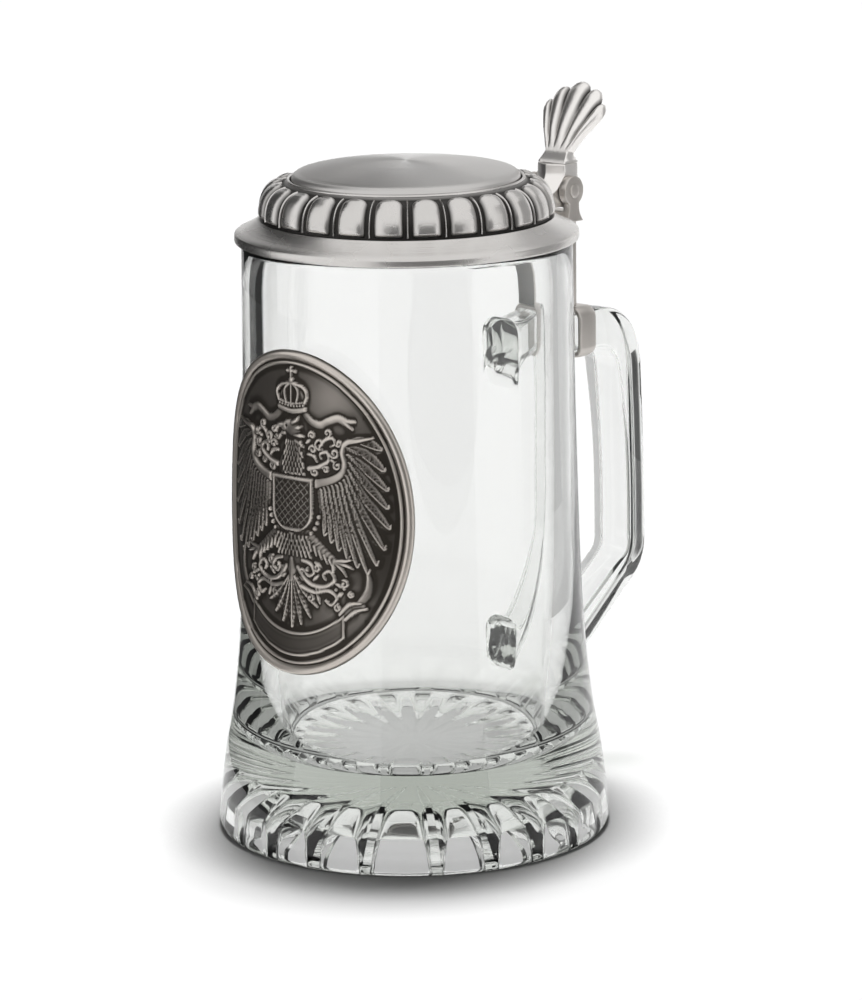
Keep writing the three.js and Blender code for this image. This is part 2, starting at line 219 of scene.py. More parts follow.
def smoothstep(value, low, high):
    t = np.clip((value - low) / (high - low), 0, 1)
    return t * t * (3 - 2 * t)


# The unit normals of a curve, to the right of its run
def curveNormals(line):
    tangent = np.gradient(line, axis=0)
    tangent /= np.linalg.norm(tangent, axis=1)[:, None]
    return np.column_stack([tangent[:, 1], -tangent[:, 0]])


# Both coordinates round a rectangle with rounded corners: corner circles pushed out to the four corners
def roundedBox(halfFirst, halfSecond, corner):
    turn = np.radians(np.arange(0, 360, 7.5) + 3.75)
    waves = ((np.cos(turn), halfFirst), (np.sin(turn), halfSecond))
    return [np.sign(wave) * (half - corner) + wave * corner for wave, half in waves]


# Meshes
def newPiece(name, points, faces, finish=None, edgeAngle=35, attributes=None):
    mesh = bpy.data.meshes.new(name)
    mesh.from_pydata((np.asarray(points) * mm).tolist(), [], faces)
    for key, values in (attributes or {}).items():
        layer = mesh.attributes.new(key, "FLOAT", "POINT")
        layer.data.foreach_set("value", np.asarray(values, np.float32).ravel())
    piece = bpy.data.objects.new(name, mesh)
    scene.collection.objects.link(piece)
    cleanMesh(mesh, edgeAngle)
    if finish:
        mesh.materials.append(finish)
    return piece


def cleanMesh(mesh, edgeAngle):
    work = bmesh.new()
    work.from_mesh(mesh)
    bmesh.ops.remove_doubles(work, verts=work.verts, dist=1e-6)
    bmesh.ops.dissolve_degenerate(work, edges=work.edges, dist=1e-7)
    bmesh.ops.recalc_face_normals(work, faces=work.faces)
    for face in work.faces:
        face.smooth = True
    for edge in work.edges:
        edge.smooth = len(edge.link_faces) == 2 and edge.calc_face_angle(0) < math.radians(edgeAngle)
    work.to_mesh(mesh)
    work.free()


def gridFaces(rows, columns, wrapRows, wrapColumns):
    faces = []
    for i in range(rows if wrapRows else rows - 1):
        for j in range(columns if wrapColumns else columns - 1):
            k, n = (i + 1) % rows, (j + 1) % columns
            faces.append((i * columns + j, i * columns + n, k * columns + n, k * columns + j))
    return faces


# A profile of radius and height turned round the mug's axis
def turned(profile, segments, closed=False):
    profile = np.asarray(profile, float)
    turn = np.linspace(0, 2 * math.pi, segments, endpoint=False)
    x = axisX + np.outer(profile[:, 0], np.cos(turn))
    y = np.outer(profile[:, 0], np.sin(turn))
    z = np.repeat(profile[:, 1:2], segments, axis=1)
    points = np.stack([x, y, z], axis=-1).reshape(-1, 3)
    return points, gridFaces(len(profile), segments, closed, True)


# Rings joined into one skin and capped at both ends
def cappedRings(rings):
    count, size = len(rings), len(rings[0])
    faces = gridFaces(count, size, False, True)
    faces += [tuple(range(size)), tuple(range((count - 1) * size, count * size))]
    return np.vstack(rings), faces


# A flat outline in X and Z given a thickness along Y between the slices
def slab(outline, slices):
    outline = np.asarray(outline, float)
    levels = [np.full(len(outline), y) for y in slices]
    return cappedRings([np.column_stack([outline[:, 0], level, outline[:, 1]]) for level in levels])


def keepResult(piece, edgeAngle=35):
    result = piece.evaluated_get(bpy.context.evaluated_depsgraph_get())
    mesh = bpy.data.meshes.new_from_object(result)
    piece.modifiers.clear()
    piece.data = mesh
    if edgeAngle:
        cleanMesh(mesh, edgeAngle)
    return piece


def rounded(piece, width, segments=3, edgeAngle=35):
    bevel = piece.modifiers.new("edges", "BEVEL")
    bevel.width = width * mm
    bevel.segments = segments
    bevel.limit_method = "ANGLE"
    bevel.angle_limit = math.radians(edgeAngle)
    return keepResult(piece, edgeAngle)


def joined(piece, *others, edgeAngle=35):
    for other in others:
        join = piece.modifiers.new("join", "BOOLEAN")
        join.operation = "UNION"
        join.solver = "EXACT"
        join.object = other
    keepResult(piece, edgeAngle)
    for other in others:
        bpy.data.objects.remove(other)
    return piece


# Dark skin left on faces that no cloth reaches, by a rule on the points' places
def tarnish(piece, rule):
    mesh = piece.data
    places = np.empty(len(mesh.vertices) * 3)
    mesh.vertices.foreach_get("co", places)
    x, y, z = places.reshape(-1, 3).T / mm
    layer = mesh.attributes.get("patina") or mesh.attributes.new("patina", "FLOAT", "POINT")
    layer.data.foreach_set("value", np.asarray(rule(x, y, z), np.float32))
    return piece


# An empty Geometry Nodes rule with named inputs
def newRule(name, sockets):
    tree = bpy.data.node_groups.new(name, "GeometryNodeTree")
    keys = {}
    for label, kind in sockets.items():
        socket = tree.interface.new_socket(label, in_out="INPUT", socket_type="NodeSocket" + kind)
        keys[label] = socket.identifier
    tree.interface.new_socket("Geometry", in_out="OUTPUT", socket_type="NodeSocketGeometry")
    graph = Graph(tree)
    return graph, keys, {label: graph.node("NodeGroupInput", {}, {}, label) for label in sockets}


# The rule's last nodes, then the rule at work on the piece
def runRule(piece, graph, keys, geometry, finish, settings):
    whole = graph.node("GeometryNodeRealizeInstances", {}, {0: geometry})
    coated = graph.node("GeometryNodeSetMaterial", {}, {"Geometry": whole, "Material": finish})
    graph.node("NodeGroupOutput", {}, {0: coated})
    rule = piece.modifiers.new(graph.tree.name, "NODES")
    rule.node_group = graph.tree
    for label, value in settings.items():
        rule[keys[label]] = value


def settle(piece, body, slot, *nodes):
    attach(piece, body)
    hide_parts(*nodes)


# Finishes
glassLook = {"ior": 1.52, "tint": (0.22, 0.28, 0.19, 1.0), "density": 11.0, "wave": 0.05,
             "swirl": 38.0, "specks": 420.0, "smear": 0.02, "handleFrom": 47.0, "handleBlend": 4.0}


def makeGlass(values):
    material, graph = newFinish("clearPressedGlass")
    where = graph.node("ShaderNodeTexCoord", {}, {}, "Object")
    swirl = graph.noise(where, values["swirl"], 1.0)
    ripple = graph.node("ShaderNodeBump", {}, {
        "Strength": values["wave"], "Distance": 0.002, "Height": swirl,
    })
    specks = graph.noise(where, values["specks"], 3.0)
    smear = ((specks - 0.62) * 3.0).clamp() * values["smear"]
    shader = graph.node("ShaderNodeBsdfPrincipled", {}, {
        "Base Color": (1, 1, 1, 1), "Roughness": smear, "IOR": values["ior"],
        "Transmission Weight": 1.0, "Normal": ripple,
    })
    shadow = graph.node("ShaderNodeLightPath", {}, {}, "Is Shadow Ray")
    x = graph.node("ShaderNodeSeparateXYZ", {}, {0: where})
    # the handle hardly shades the table
    start = (axisX + values["handleFrom"]) * mm
    slender = ((x - start) / (values["handleBlend"] * mm)).clamp() * shadow
    clear = graph.node("ShaderNodeBsdfTransparent", {}, {"Color": (1, 1, 1, 1)})
    both = graph.node("ShaderNodeMixShader", {}, {0: slender, 1: shader, 2: clear})
    depth = graph.node("ShaderNodeVolumeAbsorption", {}, {
        "Color": values["tint"], "Density": values["density"],
    })
    finishSurface(graph, both, depth)
    return material


pewterGrain = {"cloud": 55.0, "grain": 900.0, "lines": 2600.0, "bump": 0.12, "bumpDepth": 0.0004}
foamLook = {"cells": 1500.0, "dark": 0.30, "pale": 0.42, "bump": 0.4, "bumpDepth": 0.0003}


# Metal whose recesses, marked by the patina attribute, stay dark (on the badge the attribute also carries
# painted sheen and shade); turned adds fine lathe lines
def makePewter(name, light, dark, rough, darkRough=0.5, turned=0.0, along=0.0, warmth=0.015):
    material, graph = newFinish(name)
    where = graph.node("ShaderNodeTexCoord", {}, {}, "Object")
    cloud = graph.noise(where, pewterGrain["cloud"], 3.0)
    grain = graph.noise(where, pewterGrain["grain"], 2.0)
    patina = graph.attribute("patina")
    edge = (patina + (cloud - 0.5) * 0.35 * patina * (1 - patina) * 4).clamp()
    clear = graph.mix(cloud, grey(light * 0.88, warmth), grey(light * 1.08, warmth))
    colour = graph.mix(edge, clear, grey(dark, warmth * 3))
    height = grain * 0.4
    if turned:
        x, y = [graph.node("ShaderNodeSeparateXYZ", {}, {0: where}, k) for k in (0, 1)]
        away = x - axisX * mm
        reach = (away * away + y * y) ** 0.5
        lines = graph.node("ShaderNodeTexNoise", {"noise_dimensions": "1D"}, {
            "W": reach, "Scale": pewterGrain["lines"],
        })
        height = height + lines * turned
    bump = graph.node("ShaderNodeBump", {}, {
        "Strength": pewterGrain["bump"], "Distance": pewterGrain["bumpDepth"], "Height": height,
    })
    roughness = rough + (cloud - 0.5) * 0.1 + edge * (darkRough - rough)
    shader = graph.node("ShaderNodeBsdfPrincipled", {}, {
        "Base Color": colour, "Roughness": roughness, "Metallic": 1.0 - edge * 0.35,
        "Anisotropic": along, "Normal": bump,
    })
    finishSurface(graph, shader)
    return material


def makeFoam(values):
    material, graph = newFinish("greyAdhesiveFoam")
    where = graph.node("ShaderNodeTexCoord", {}, {}, "Object")
    cells = graph.node("ShaderNodeTexVoronoi", {}, {"Vector": where, "Scale": values["cells"]})
    colour = graph.mix(cells, grey(values["dark"]), grey(values["pale"]))
    bump = graph.node("ShaderNodeBump", {}, {
        "Strength": values["bump"], "Distance": values["bumpDepth"], "Height": cells,
    })
    shader = graph.node("ShaderNodeBsdfPrincipled", {}, {
        "Base Color": colour, "Roughness": 0.9, "Normal": bump,
    })
    finishSurface(graph, shader)
    return material


clearGlass = makeGlass(glassLook)
borderPewter = makePewter("satinLidPewter", 0.64, 0.022, 0.27, 0.45, turned=0.6, along=0.35, warmth=0.03)
domePewter = makePewter("turnedLidPewter", 0.58, 0.05, 0.30, turned=1.0, along=0.82, warmth=0.025)
fittingPewter = makePewter("satinFittingPewter", 0.54, 0.03, 0.36, 0.5, warmth=0.06)
shellPewter = makePewter("brightShellPewter", 0.86, 0.03, 0.30, 0.45, warmth=0.03)
badgePewter = makePewter("antiquedBadgePewter", 0.545, 0.022, 0.30, 0.42, warmth=0.085)
foamFinish = makeFoam(foamLook)
print("finishes made")

# Glass mug: outer wall, bore, fluted underside and handle
mugShape = {
    "wall": [(51.1, 3.4), (49.1, 20.2), (46.3, 37), (44.2, 63), (42.85, 112), (42.3, 152.8)],
    "rim": 154.2, "rimRound": 1.4, "boreTop": 37.4, "boreLow": 36.2,
    "floor": 20.5, "floorRadius": 28.5, "floorRise": 11.0,
    "footRoll": 1.7, "lift": 0.9, "segments": 560,
}
fluteShape = {
    "count": 21, "start": -144.0, "broad": 20.3, "hub": 20.0, "root": 42.0, "crest": 33.0, "outer": 45.6,
    "rim": 47.0, "depth": 12.6, "recess": 11.2, "fall": 0.42, "share": 0.70, "broadShare": 0.20,
}
handleShape = {
    "reach": 92.1, "grip": 8.4, "lean": 3.8, "middle": 83.0, "low": 55.2, "top": 126.0,
    "depth": 10.8, "slant": 9.2, "root": 33.8, "rootReach": 11.0, "flare": 5.2, "droop": 3.4,
    "width": 12.0, "widthFlare": 1.2, "corner": 1.2, "rootCorner": 5.0, "embed": 1.6, "spacing": 1.0,
    "runs": (13.0, 16.0, 4.5, 9.0),
}
wallLine = smoothCurve(mugShape["wall"], 10)


def wallRadius(height):
    return np.interp(height, wallLine[:, 1], wallLine[:, 0])


def makeGlassBody(values, flutes):
    foot, rimRadius = values["wall"][0], values["wall"][-1][0]
    rimRound, rim = values["rimRound"], values["rim"]
    radii = np.concatenate([[0], np.linspace(flutes["hub"], flutes["outer"] - 1.2, 36)])
    under = [(radius, values["lift"]) for radius in radii]
    under += [(flutes["outer"] + step, values["lift"]) for step in (-0.8, -0.5, -0.25, 0, 0.25, 0.5)]
    under += [(flutes["rim"], 0.12), (flutes["rim"] + 0.6, 0)]
    sole = foot[0] - values["footRoll"]
    roll = bend((sole, 0), (foot[0] - 0.25, 0.1), foot, 6)
    lip = arc((rimRadius - rimRound, rim - rimRound), rimRound, 10, 90, 6)
    mouth = arc((values["boreTop"] + rimRound, rim - rimRound), rimRound, 90, 180, 6)
    low = values["floor"] + values["floorRise"]
    bore = [(values["boreTop"], rim - rimRound - step) for step in (8, 40, 80)]
    heel = bend((values["boreLow"], low), (values["boreLow"] - 0.6, values["floor"] + 1),
                (values["floorRadius"], values["floor"] + 0.3), 10)
    floor = [(radius, values["floor"]) for radius in (22, 14, 7, 0)]
    profile = np.vstack([under, roll, wallLine[1:], lip, mouth, bore, heel, floor])
    points, faces = turned(profile, values["segments"])
    isUnder = np.zeros(len(points))
    isUnder[: len(under) * values["segments"]] = 1
    return newPiece("glassBody", points, faces, edgeAngle=40, attributes={"underside": isUnder})


# Flutes: a rule that lifts the underside into vaults between flat radial ribs
def addFlutes(piece, values):
    lengths = ("Hub", "Root", "Crest", "Outer", "Depth", "Recess")
    sizes = {name: values[name.lower()] * mm for name in lengths}
    sizes |= {name: math.radians(values[name.lower()]) for name in ("Start", "Broad")}
    sizes |= {"Count": float(values["count"]), "Fall": values["fall"], "Share": values["share"],
              "BroadShare": values["broadShare"]}
    sockets = {"Geometry": "Geometry"} | {name: "Float" for name in sizes}
    graph, keys, given = newRule("basePlateFlutes", sockets)
    place = graph.node("GeometryNodeInputPosition")
    x, y = [graph.node("ShaderNodeSeparateXYZ", {}, {0: place}, k) for k in (0, 1)]
    away = x - axisX * mm
    reach = (away * away + y * y) ** 0.5
    angle = y.math("ARCTAN2", y, away)
    off = y.math("WRAP", angle - given["Start"], math.pi, -math.pi)
    far = y.math("ABSOLUTE", off)
    pitch = (2 * math.pi - 2 * given["Broad"]) / (given["Count"] - 2)
    order = (far - (given["Broad"] - pitch) * (far / given["Broad"]).clamp()) / pitch
    # 0 in the middle of a flute, 1 on a rib
    across = 1 - y.math("ABSOLUTE", y.math("FRACT", order) * 2 - 1)
    share = given["Share"] + given["BroadShare"] * y.math("LESS_THAN", order, 0.5)
    outward = ((reach - given["Crest"]) / (given["Outer"] - given["Crest"])).clamp()
    vault = (1 - (across / share).clamp() ** (3.0 + 8.0 * outward)) ** 0.5
    run = ((given["Root"] - reach) / (given["Root"] - given["Hub"])).clamp()
    rib = given["Recess"] * (1 - (1 - run) ** 2.2)
    inward = ((reach - given["Hub"]) / (given["Crest"] - given["Hub"])).clamp()
    flute = given["Recess"] + (given["Depth"] - given["Recess"]) * inward
    flute = flute - given["Depth"] * given["Fall"] * outward ** 1.1
    inside = ((given["Outer"] + 0.4 * mm - reach) / (1.1 * mm)).clamp()
    lift = (rib + (flute - rib) * vault) * inside ** 0.5
    chosen = graph.node("GeometryNodeInputNamedAttribute", {}, {0: "underside"})
    offset = graph.node("ShaderNodeCombineXYZ", {}, {2: lift})
    moved = graph.node("GeometryNodeSetPosition", {}, {
        "Geometry": given["Geometry"], "Selection": chosen, "Offset": offset,
    })
    runRule(piece, graph, keys, moved, clearGlass, sizes)
    return keepResult(piece, 40)


def makeHandle(values):
    limb = values["top"] - values["depth"] / 2
    centre = values["reach"] - values["grip"] / 2
    upper = wallRadius(limb) - values["embed"]
    lower = wallRadius(values["root"]) - values["embed"]
    corners = [
        (upper, limb), (centre - values["lean"], limb), (centre, values["middle"]), (centre, values["low"]),
        (wallRadius(values["root"]) + values["rootReach"], values["root"]), (lower, values["root"]),
    ]
    path = bentPath(corners, values["runs"], values["spacing"])
    outward = -curveNormals(path)
    away = np.clip((path[:, 0] - wallRadius(path[:, 1])) / values["rootReach"], 0, 1)
    nearWall = 1 - np.sqrt(np.clip(1 - (1 - away) ** 2, 0, 1))  # a fillet that meets the wall
    top = smoothstep(path[:, 1], values["middle"], limb)
    bottom = 1 - smoothstep(path[:, 1], values["root"], values["low"])
    grip = values["grip"]
    depth = grip + top * (values["depth"] - grip) + bottom * (values["slant"] - grip)
    halfDepth = depth / 2 + values["flare"] * nearWall
    halfWidth = values["width"] / 2 + values["widthFlare"] * nearWall
    sink = values["droop"] * nearWall * (path[:, 1] > values["middle"])  # the upper root runs down the wall
    corners = values["corner"] + (values["rootCorner"] - values["corner"]) * (1 - away) ** 2
    rings = []
    for p, n, a, b, corner in zip(path - outward * sink[:, None], outward, halfDepth, halfWidth, corners):
        side, across = roundedBox(a, b, corner)
        rings.append(np.column_stack([axisX + p[0] + n[0] * side, across, p[1] + n[1] * side]))
    return newPiece("glassHandle", *cappedRings(rings), clearGlass)


glassMug = addFlutes(makeGlassBody(mugShape, fluteShape), fluteShape)
joined(glassMug, makeHandle(handleShape), edgeAngle=40)
glassMug.name = "glassMug"
settle(glassMug, "mug", "glass", "glass_mug")
print("glass mug blown,", len(glassMug.data.polygons), "faces")

# Lid border: flange ring with gadroons and thin ribs between them
borderShape = {
    "bottom": 154.5, "flange": 44.0, "band": 2.1, "waist": 38.1, "rise": 5.4, "top": 15.5, "bead": 30.4,
    "dome": 29.5, "wall": 1.7, "ledge": 26.2, "seat": 14.0, "beadHalf": 0.42, "segments": 240,
}
gadroonShape = {
    "count": 24, "start": 3.4, "lobe": 5.75, "height": 1.25, "rib": 0.27, "ribHeight": 0.62,
    "foot": (36.7, 160.75), "shoulder": (36.9, 168.0), "crown": (31.5, 168.95), "steps": 30, "across": 18,
}


def makeBorderRing(values, gadroons):
    z = values["bottom"]
    foot = z + values["rise"]
    top = z + values["top"]
    seat = z + values["seat"]
    ground = bend(gadroons["foot"], gadroons["shoulder"], gadroons["crown"], 14)
    flangeTop = z + values["band"]
    inner = values["waist"] - 3.3
    rows = [
        ((inner, z), 0.5), ((values["flange"] - 0.5, z), 0), ((values["flange"] - 0.1, z + 0.15), 0),
        ((values["flange"], z + 0.5), 0), ((values["flange"], flangeTop - 0.5), 0),
        ((values["flange"] - 0.12, flangeTop - 0.1), 0), ((values["flange"] - 0.5, flangeTop + 0.22), 0),
    ]
    for share in (0.25, 0.5, 0.75, 0.95):
        radius = values["flange"] - 0.5 + (values["waist"] + 0.5 - values["flange"]) * share
        height = flangeTop + 0.22 + (foot - flangeTop - 0.22) * share - 0.25 * math.sin(share * 3)
        rows.append(((radius, height), 0))
    rows += [
        ((values["waist"] - 0.1, foot + 0.1), 0.0), ((values["waist"] - 0.35, foot + 0.35), 0.1),
        ((values["waist"] - 0.75, foot + 0.2), 0.9), ((values["waist"] - 1.3, foot + 0.3), 1),
    ]
    rows += [((radius, height), 1) for radius, height in ground]
    beadRows = arc((values["dome"] + values["beadHalf"] + 0.1, top), values["beadHalf"], -20, 200, 10)
    rows.append(((values["bead"] + 0.7, top - 0.9), 1))
    rows += [((radius, height), 0.55 if i in (0, 10) else 0.0)
             for i, (radius, height) in enumerate(beadRows)]
    rows += [
        ((values["dome"], top - 1.2), 1), ((values["dome"], seat), 1), ((values["ledge"], seat), 0.4),
        ((values["ledge"], seat - values["wall"]), 0.3), ((values["bead"] + 1, seat - values["wall"]), 0.3),
        ((inner, foot + 1), 0.3),
    ]
    points, faces = turned([row[0] for row in rows], values["segments"], closed=True)
    patina = np.repeat([row[1] for row in rows], values["segments"])
    return newPiece("lidBorder", points, faces, edgeAngle=50, attributes={"patina": patina})


# One gadroon at angle zero: an arched tongue swelling from the border's curve
def makeLobe(values):
    line = bend(values["foot"], values["shoulder"], values["crown"], values["steps"])
    outward = curveNormals(line)
    share = np.linspace(0, 1, len(line))
    arch = np.sqrt(np.clip(1 - np.clip((share - 0.74) / 0.26, 0, 1) ** 2, 0, 1))
    heel = np.clip(share / 0.05, 0, 1) ** 0.5
    halfWidth = np.radians(values["lobe"]) * arch * (0.93 + 0.07 * heel)
    across = np.linspace(-1, 1, values["across"] + 1)
    swell = (1 - np.abs(across) ** 3.2) ** 0.7
    ends = np.clip(np.minimum(share / 0.10, (1 - share) / 0.22), 0, 1)
    ends = np.sqrt(1 - (1 - ends) ** 2)
    points, patina = [], []
    for level in (1, 0):
        for i in range(len(line)):
            lift = -0.35 + level * (0.35 + values["height"] * ends[i] * swell)
            radius = line[i, 0] + outward[i, 0] * lift
            height = line[i, 1] + outward[i, 1] * lift
            turn = across * halfWidth[i]
            upward = np.broadcast_to(height, turn.shape)
            spot = np.column_stack([radius * np.cos(turn), radius * np.sin(turn), upward])
            points.append(spot)
            edge = 1 - np.minimum(swell * 1.15, 1) * min(1.0, ends[i] * 1.05)
            patina.append(np.where(level, np.clip(edge * 1.5 - 0.25, 0, 1), 1.0) * np.ones_like(turn))
    rows, columns = len(line), len(across)
    faces = gridFaces(rows, columns, False, False)
    under = [tuple(rows * columns + k for k in face[::-1]) for face in faces]
    rim = [i * columns for i in range(rows)] + [(rows - 1) * columns + j for j in range(1, columns)]
    rim += [i * columns + columns - 1 for i in range(rows - 2, -1, -1)] + list(range(columns - 2, 0, -1))
    sides = []
    for a, b in zip(rim, rim[1:] + rim[:1]):
        sides.append((a, b, b + rows * columns, a + rows * columns))
    return newPiece("gadroon", np.vstack(points), faces + under + sides, edgeAngle=60,
                    attributes={"patina": np.concatenate(patina)})


# The thin raised line between two gadroons
def makeRib(values):
    line = bend(values["foot"], values["shoulder"], values["crown"], values["steps"])
    outward = curveNormals(line)
    turn = np.radians(np.linspace(0, 360, 10, endpoint=False))
    rings, patina = [], []
    for p, n in zip(line, outward):
        lift = values["ribHeight"] * np.cos(turn) - 0.1
        across = values["rib"] * np.sin(turn)
        rings.append(np.column_stack([p[0] + n[0] * lift, across, p[1] + n[1] * lift]))
        patina.append(np.clip(0.55 - np.cos(turn) * 1.2, 0, 1))
    marks = {"patina": np.concatenate(patina)}
    return newPiece("gadroonRib", *cappedRings(rings), edgeAngle=60, attributes=marks)


# Gadroons and ribs set round the ring
def addGadroons(ring, lobe, rib, values):
    graph, keys, given = newRule("gadroonRing", {
        "Geometry": "Geometry", "Gadroon": "Object", "Rib": "Object", "Count": "Int", "Start": "Float",
        "Axis": "Vector", "Finish": "Material",
    })
    spots = graph.node("GeometryNodePoints", {}, {"Count": given["Count"], "Position": given["Axis"]})
    pitch = 2 * math.pi / given["Count"]
    order = graph.node("GeometryNodeInputIndex")
    sets = []
    for name, shift in (("Gadroon", 0.0), ("Rib", 0.5)):
        angle = (order + shift) * pitch + given["Start"]
        spin = graph.node("ShaderNodeCombineXYZ", {}, {2: angle})
        turnTo = graph.node("FunctionNodeEulerToRotation", {}, {0: spin})
        form = graph.node("GeometryNodeObjectInfo", {}, {"Object": given[name]}, "Geometry")
        sets.append(graph.node("GeometryNodeInstanceOnPoints", {}, {
            "Points": spots, "Instance": form, "Rotation": turnTo,
        }))
    gathered = graph.node("GeometryNodeJoinGeometry", {}, {0: given["Geometry"]})
    for instances in sets:
        graph.tree.links.new(instances.socket, gathered.socket.node.inputs[0])
    runRule(ring, graph, keys, gathered, given["Finish"], {
        "Gadroon": lobe, "Rib": rib, "Count": values["count"], "Start": math.radians(values["start"]),
        "Axis": (axisX * mm, 0.0, 0.0), "Finish": borderPewter,
    })
    keepResult(ring, None)
    for form in (lobe, rib):
        bpy.data.objects.remove(form)
    return ring


lidBorder = addGadroons(makeBorderRing(borderShape, gadroonShape), makeLobe(gadroonShape),
                        makeRib(gadroonShape), gadroonShape)
settle(lidBorder, "lid", "pewter", "lid_border")
print("lid border set with", gadroonShape["count"], "gadroons")

# Dome: turned cap in the border
domeShape = {
    "bottom": 168.8, "radius": 29.2, "lip": 170.2, "shoulder": (26.6, 172.2), "top": 174.6, "bow": 0.42,
    "segments": 192,
}


def makeDome(values):
    edge = values["radius"]
    roll = bend((edge, values["lip"]), (edge, values["shoulder"][1] - 0.5), values["shoulder"], 8)
    crown = bend(roll[-1], (edge * values["bow"], values["top"]), (0, values["top"]), 24)
    low = values["bottom"]
    profile = np.vstack([[(0, low), (edge - 0.3, low), (edge, low + 0.3)], roll[:-1], crown])
    points, faces = turned(profile, values["segments"])
    patina = np.zeros(len(points))
    patina[: 3 * values["segments"]] = 0.9
    return newPiece("lidDome", points, faces, domePewter, 40, {"patina": patina})


lidDome = makeDome(domeShape)
settle(lidDome, "lid", "turned_pewter", "lid_dome")

# Tang: arm over the flange, block and knuckle with a ridge down its front
tangShape = {
    "width": 9.3, "rise": 6.9, "front": 0.9, "lip": 2.2, "sweep": 1.4, "ridge": 2.2, "armDrop": 0.7,
    "knuckle": 4.65, "inner": 38.7, "flange": 44.36, "seat": 159.9, "edge": 0.35,
    "low": 155.2, "hook": 157.0, "ridgeFrom": 44.0,
}


def makeTang(values):
    front = hingeX - values["front"]
    top = hingeZ + values["rise"]
    arm = hingeZ - values["armDrop"]
    reach = axisX + values["flange"]
    inner = axisX + values["inner"]
    halfway = (front + reach) / 2
    inside = (front - values["sweep"], arm + values["sweep"])
    sweep = bend((front, top - values["lip"]), inside, (halfway, arm), 8)
    tip = bend((halfway, arm), (reach, arm), (inner, values["seat"] + 2), 6)
    knuckle = arc((hingeX, hingeZ), values["knuckle"], 241, 360, 12)
    outline = np.vstack([
        [(hingeX + values["knuckle"], top), (front, top)], sweep, tip[1:],
        [(inner, values["seat"] + 0.35), (reach, values["hook"]), (reach, values["low"])],
        knuckle,
    ])
    half = values["width"] / 2
    points, faces = slab(outline, (-half, 0, half))
    middle = np.abs(points[:, 1]) < 0.01
    facing = (points[:, 0] < front + 0.01) & (points[:, 2] > arm - 0.4)
    rise = smoothstep(points[:, 0], axisX + values["ridgeFrom"], front)
    points[:, 0] -= np.where(middle & facing, values["ridge"] * rise, 0)
    return rounded(newPiece("lidTang", points, faces, shellPewter), values["edge"], 3, 24)


lidTang = makeTang(tangShape)
settle(lidTang, "lid", "pewter", "lid_tang")

# Thumblift: five fanned ribs growing out of a neck
fanShape = {
    "foot": 166.3, "neck": 169.0, "footHalf": 4.6, "neckHalf": 3.9,
    "ribs": 5, "spread": 27.0, "reach": 17.0,
    "fall": 5.6, "scallop": 0.15, "body": 1.05, "front": 1.35, "back": 0.7, "footDepth": 2.7,
    "lean": (62.8, 0.30, 0.020), "bow": 0.018, "across": 120, "along": 70, "footRows": 8,
}


def makeThumblift(values):
    u = np.linspace(-1, 1, values["across"] + 1)
    spread = u * (0.75 + 0.25 * u**2)  # a broad middle rib
    local = ((spread + 1) * values["ribs"] / 2) % 1 * 2 - 1  # place within a rib
    local[-1] = 1
    crest = np.sqrt(np.clip(1 - (0.97 * local) ** 2, 0, 1))
    edge = np.sqrt(np.clip(1 - np.clip((np.abs(u) - 0.9) / 0.1, 0, 1) ** 2, 0, 1))
    angle = np.radians(values["spread"]) * u / 0.8
    length = (values["reach"] - values["fall"] * u**2) * (1 - values["scallop"] * (1 - crest))
    sheets, dark = {1: [], -1: []}, []
    rows = [("foot", t) for t in np.linspace(0, 1, values["footRows"], endpoint=False)]
    rows += [("fan", t) for t in np.linspace(0, 1, values["along"] + 1)]
    for part, t in rows:
        if part == "foot":
            ease = t * t * (3 - 2 * t)
            height = np.full_like(u, values["foot"] + (values["neck"] - values["foot"]) * t)
            y = u * (values["footHalf"] + (values["neckHalf"] - values["footHalf"]) * ease)
            body = values["footDepth"] + (values["body"] + 0.55 - values["footDepth"]) * ease
            ribbing, close = 0.0, 1.0
            edgeHere = np.where(np.abs(u) > 0.999, 0, np.maximum(edge, 1 - ease))
        else:
            height = values["neck"] + length * t * np.cos(angle)
            y = u * values["neckHalf"] + length * t * np.sin(angle)
            ribbing = float(smoothstep(t, 0.0, 0.4))
            body = values["body"] + 0.55 * (1 - ribbing)
            close = math.sqrt(max(0.0, 1 - max(0.0, (t - 0.82) / 0.18) ** 2))
            edgeHere = edge
        rise = height - values["neck"]
        base, slope, curl = values["lean"]
        radius = base + slope * rise + curl * rise * np.maximum(rise, 0)
        lean = np.arctan(slope + 2 * curl * np.maximum(rise, 0)) * (t if part == "foot" else 1)
        for face, swell in ((1, values["front"]), (-1, values["back"])):
            thick = body * (0.45 + 0.55 * (1 - ribbing)) + swell * ribbing * crest
            thick = thick * close * edgeHere
            bowed = values["bow"] * y**2 * (part == "fan") * smoothstep(t, 0, 0.3)
            x = axisX + radius + bowed - face * thick * np.cos(lean)
            sheets[face].append(np.column_stack([x, y, height + face * thick * np.sin(lean)]))
        pit = 0.55 + 0.45 * float(smoothstep(t, 0.55, 0.8)) if part == "fan" else 0.0
        dark.append(np.clip((np.abs(local) - 0.6) / 0.35, 0, 1) * ribbing * pit * (np.abs(u) < 0.93))
    rows, columns = len(rows), len(u)
    points = np.vstack(sheets[1] + sheets[-1])
    faces = gridFaces(rows, columns, False, False)
    faces += [tuple(rows * columns + k for k in face[::-1]) for face in faces]
    faces.append(tuple(range(columns)) + tuple(rows * columns + k for k in range(columns - 1, -1, -1)))
    patina = np.tile(np.concatenate(dark), 2)
    return newPiece("shellThumblift", points, faces, shellPewter, 60, {"patina": patina})


thumblift = makeThumblift(fanShape)
settle(thumblift, "lid", "pewter", "thumblift")
print("lid dome, tang and thumblift made")

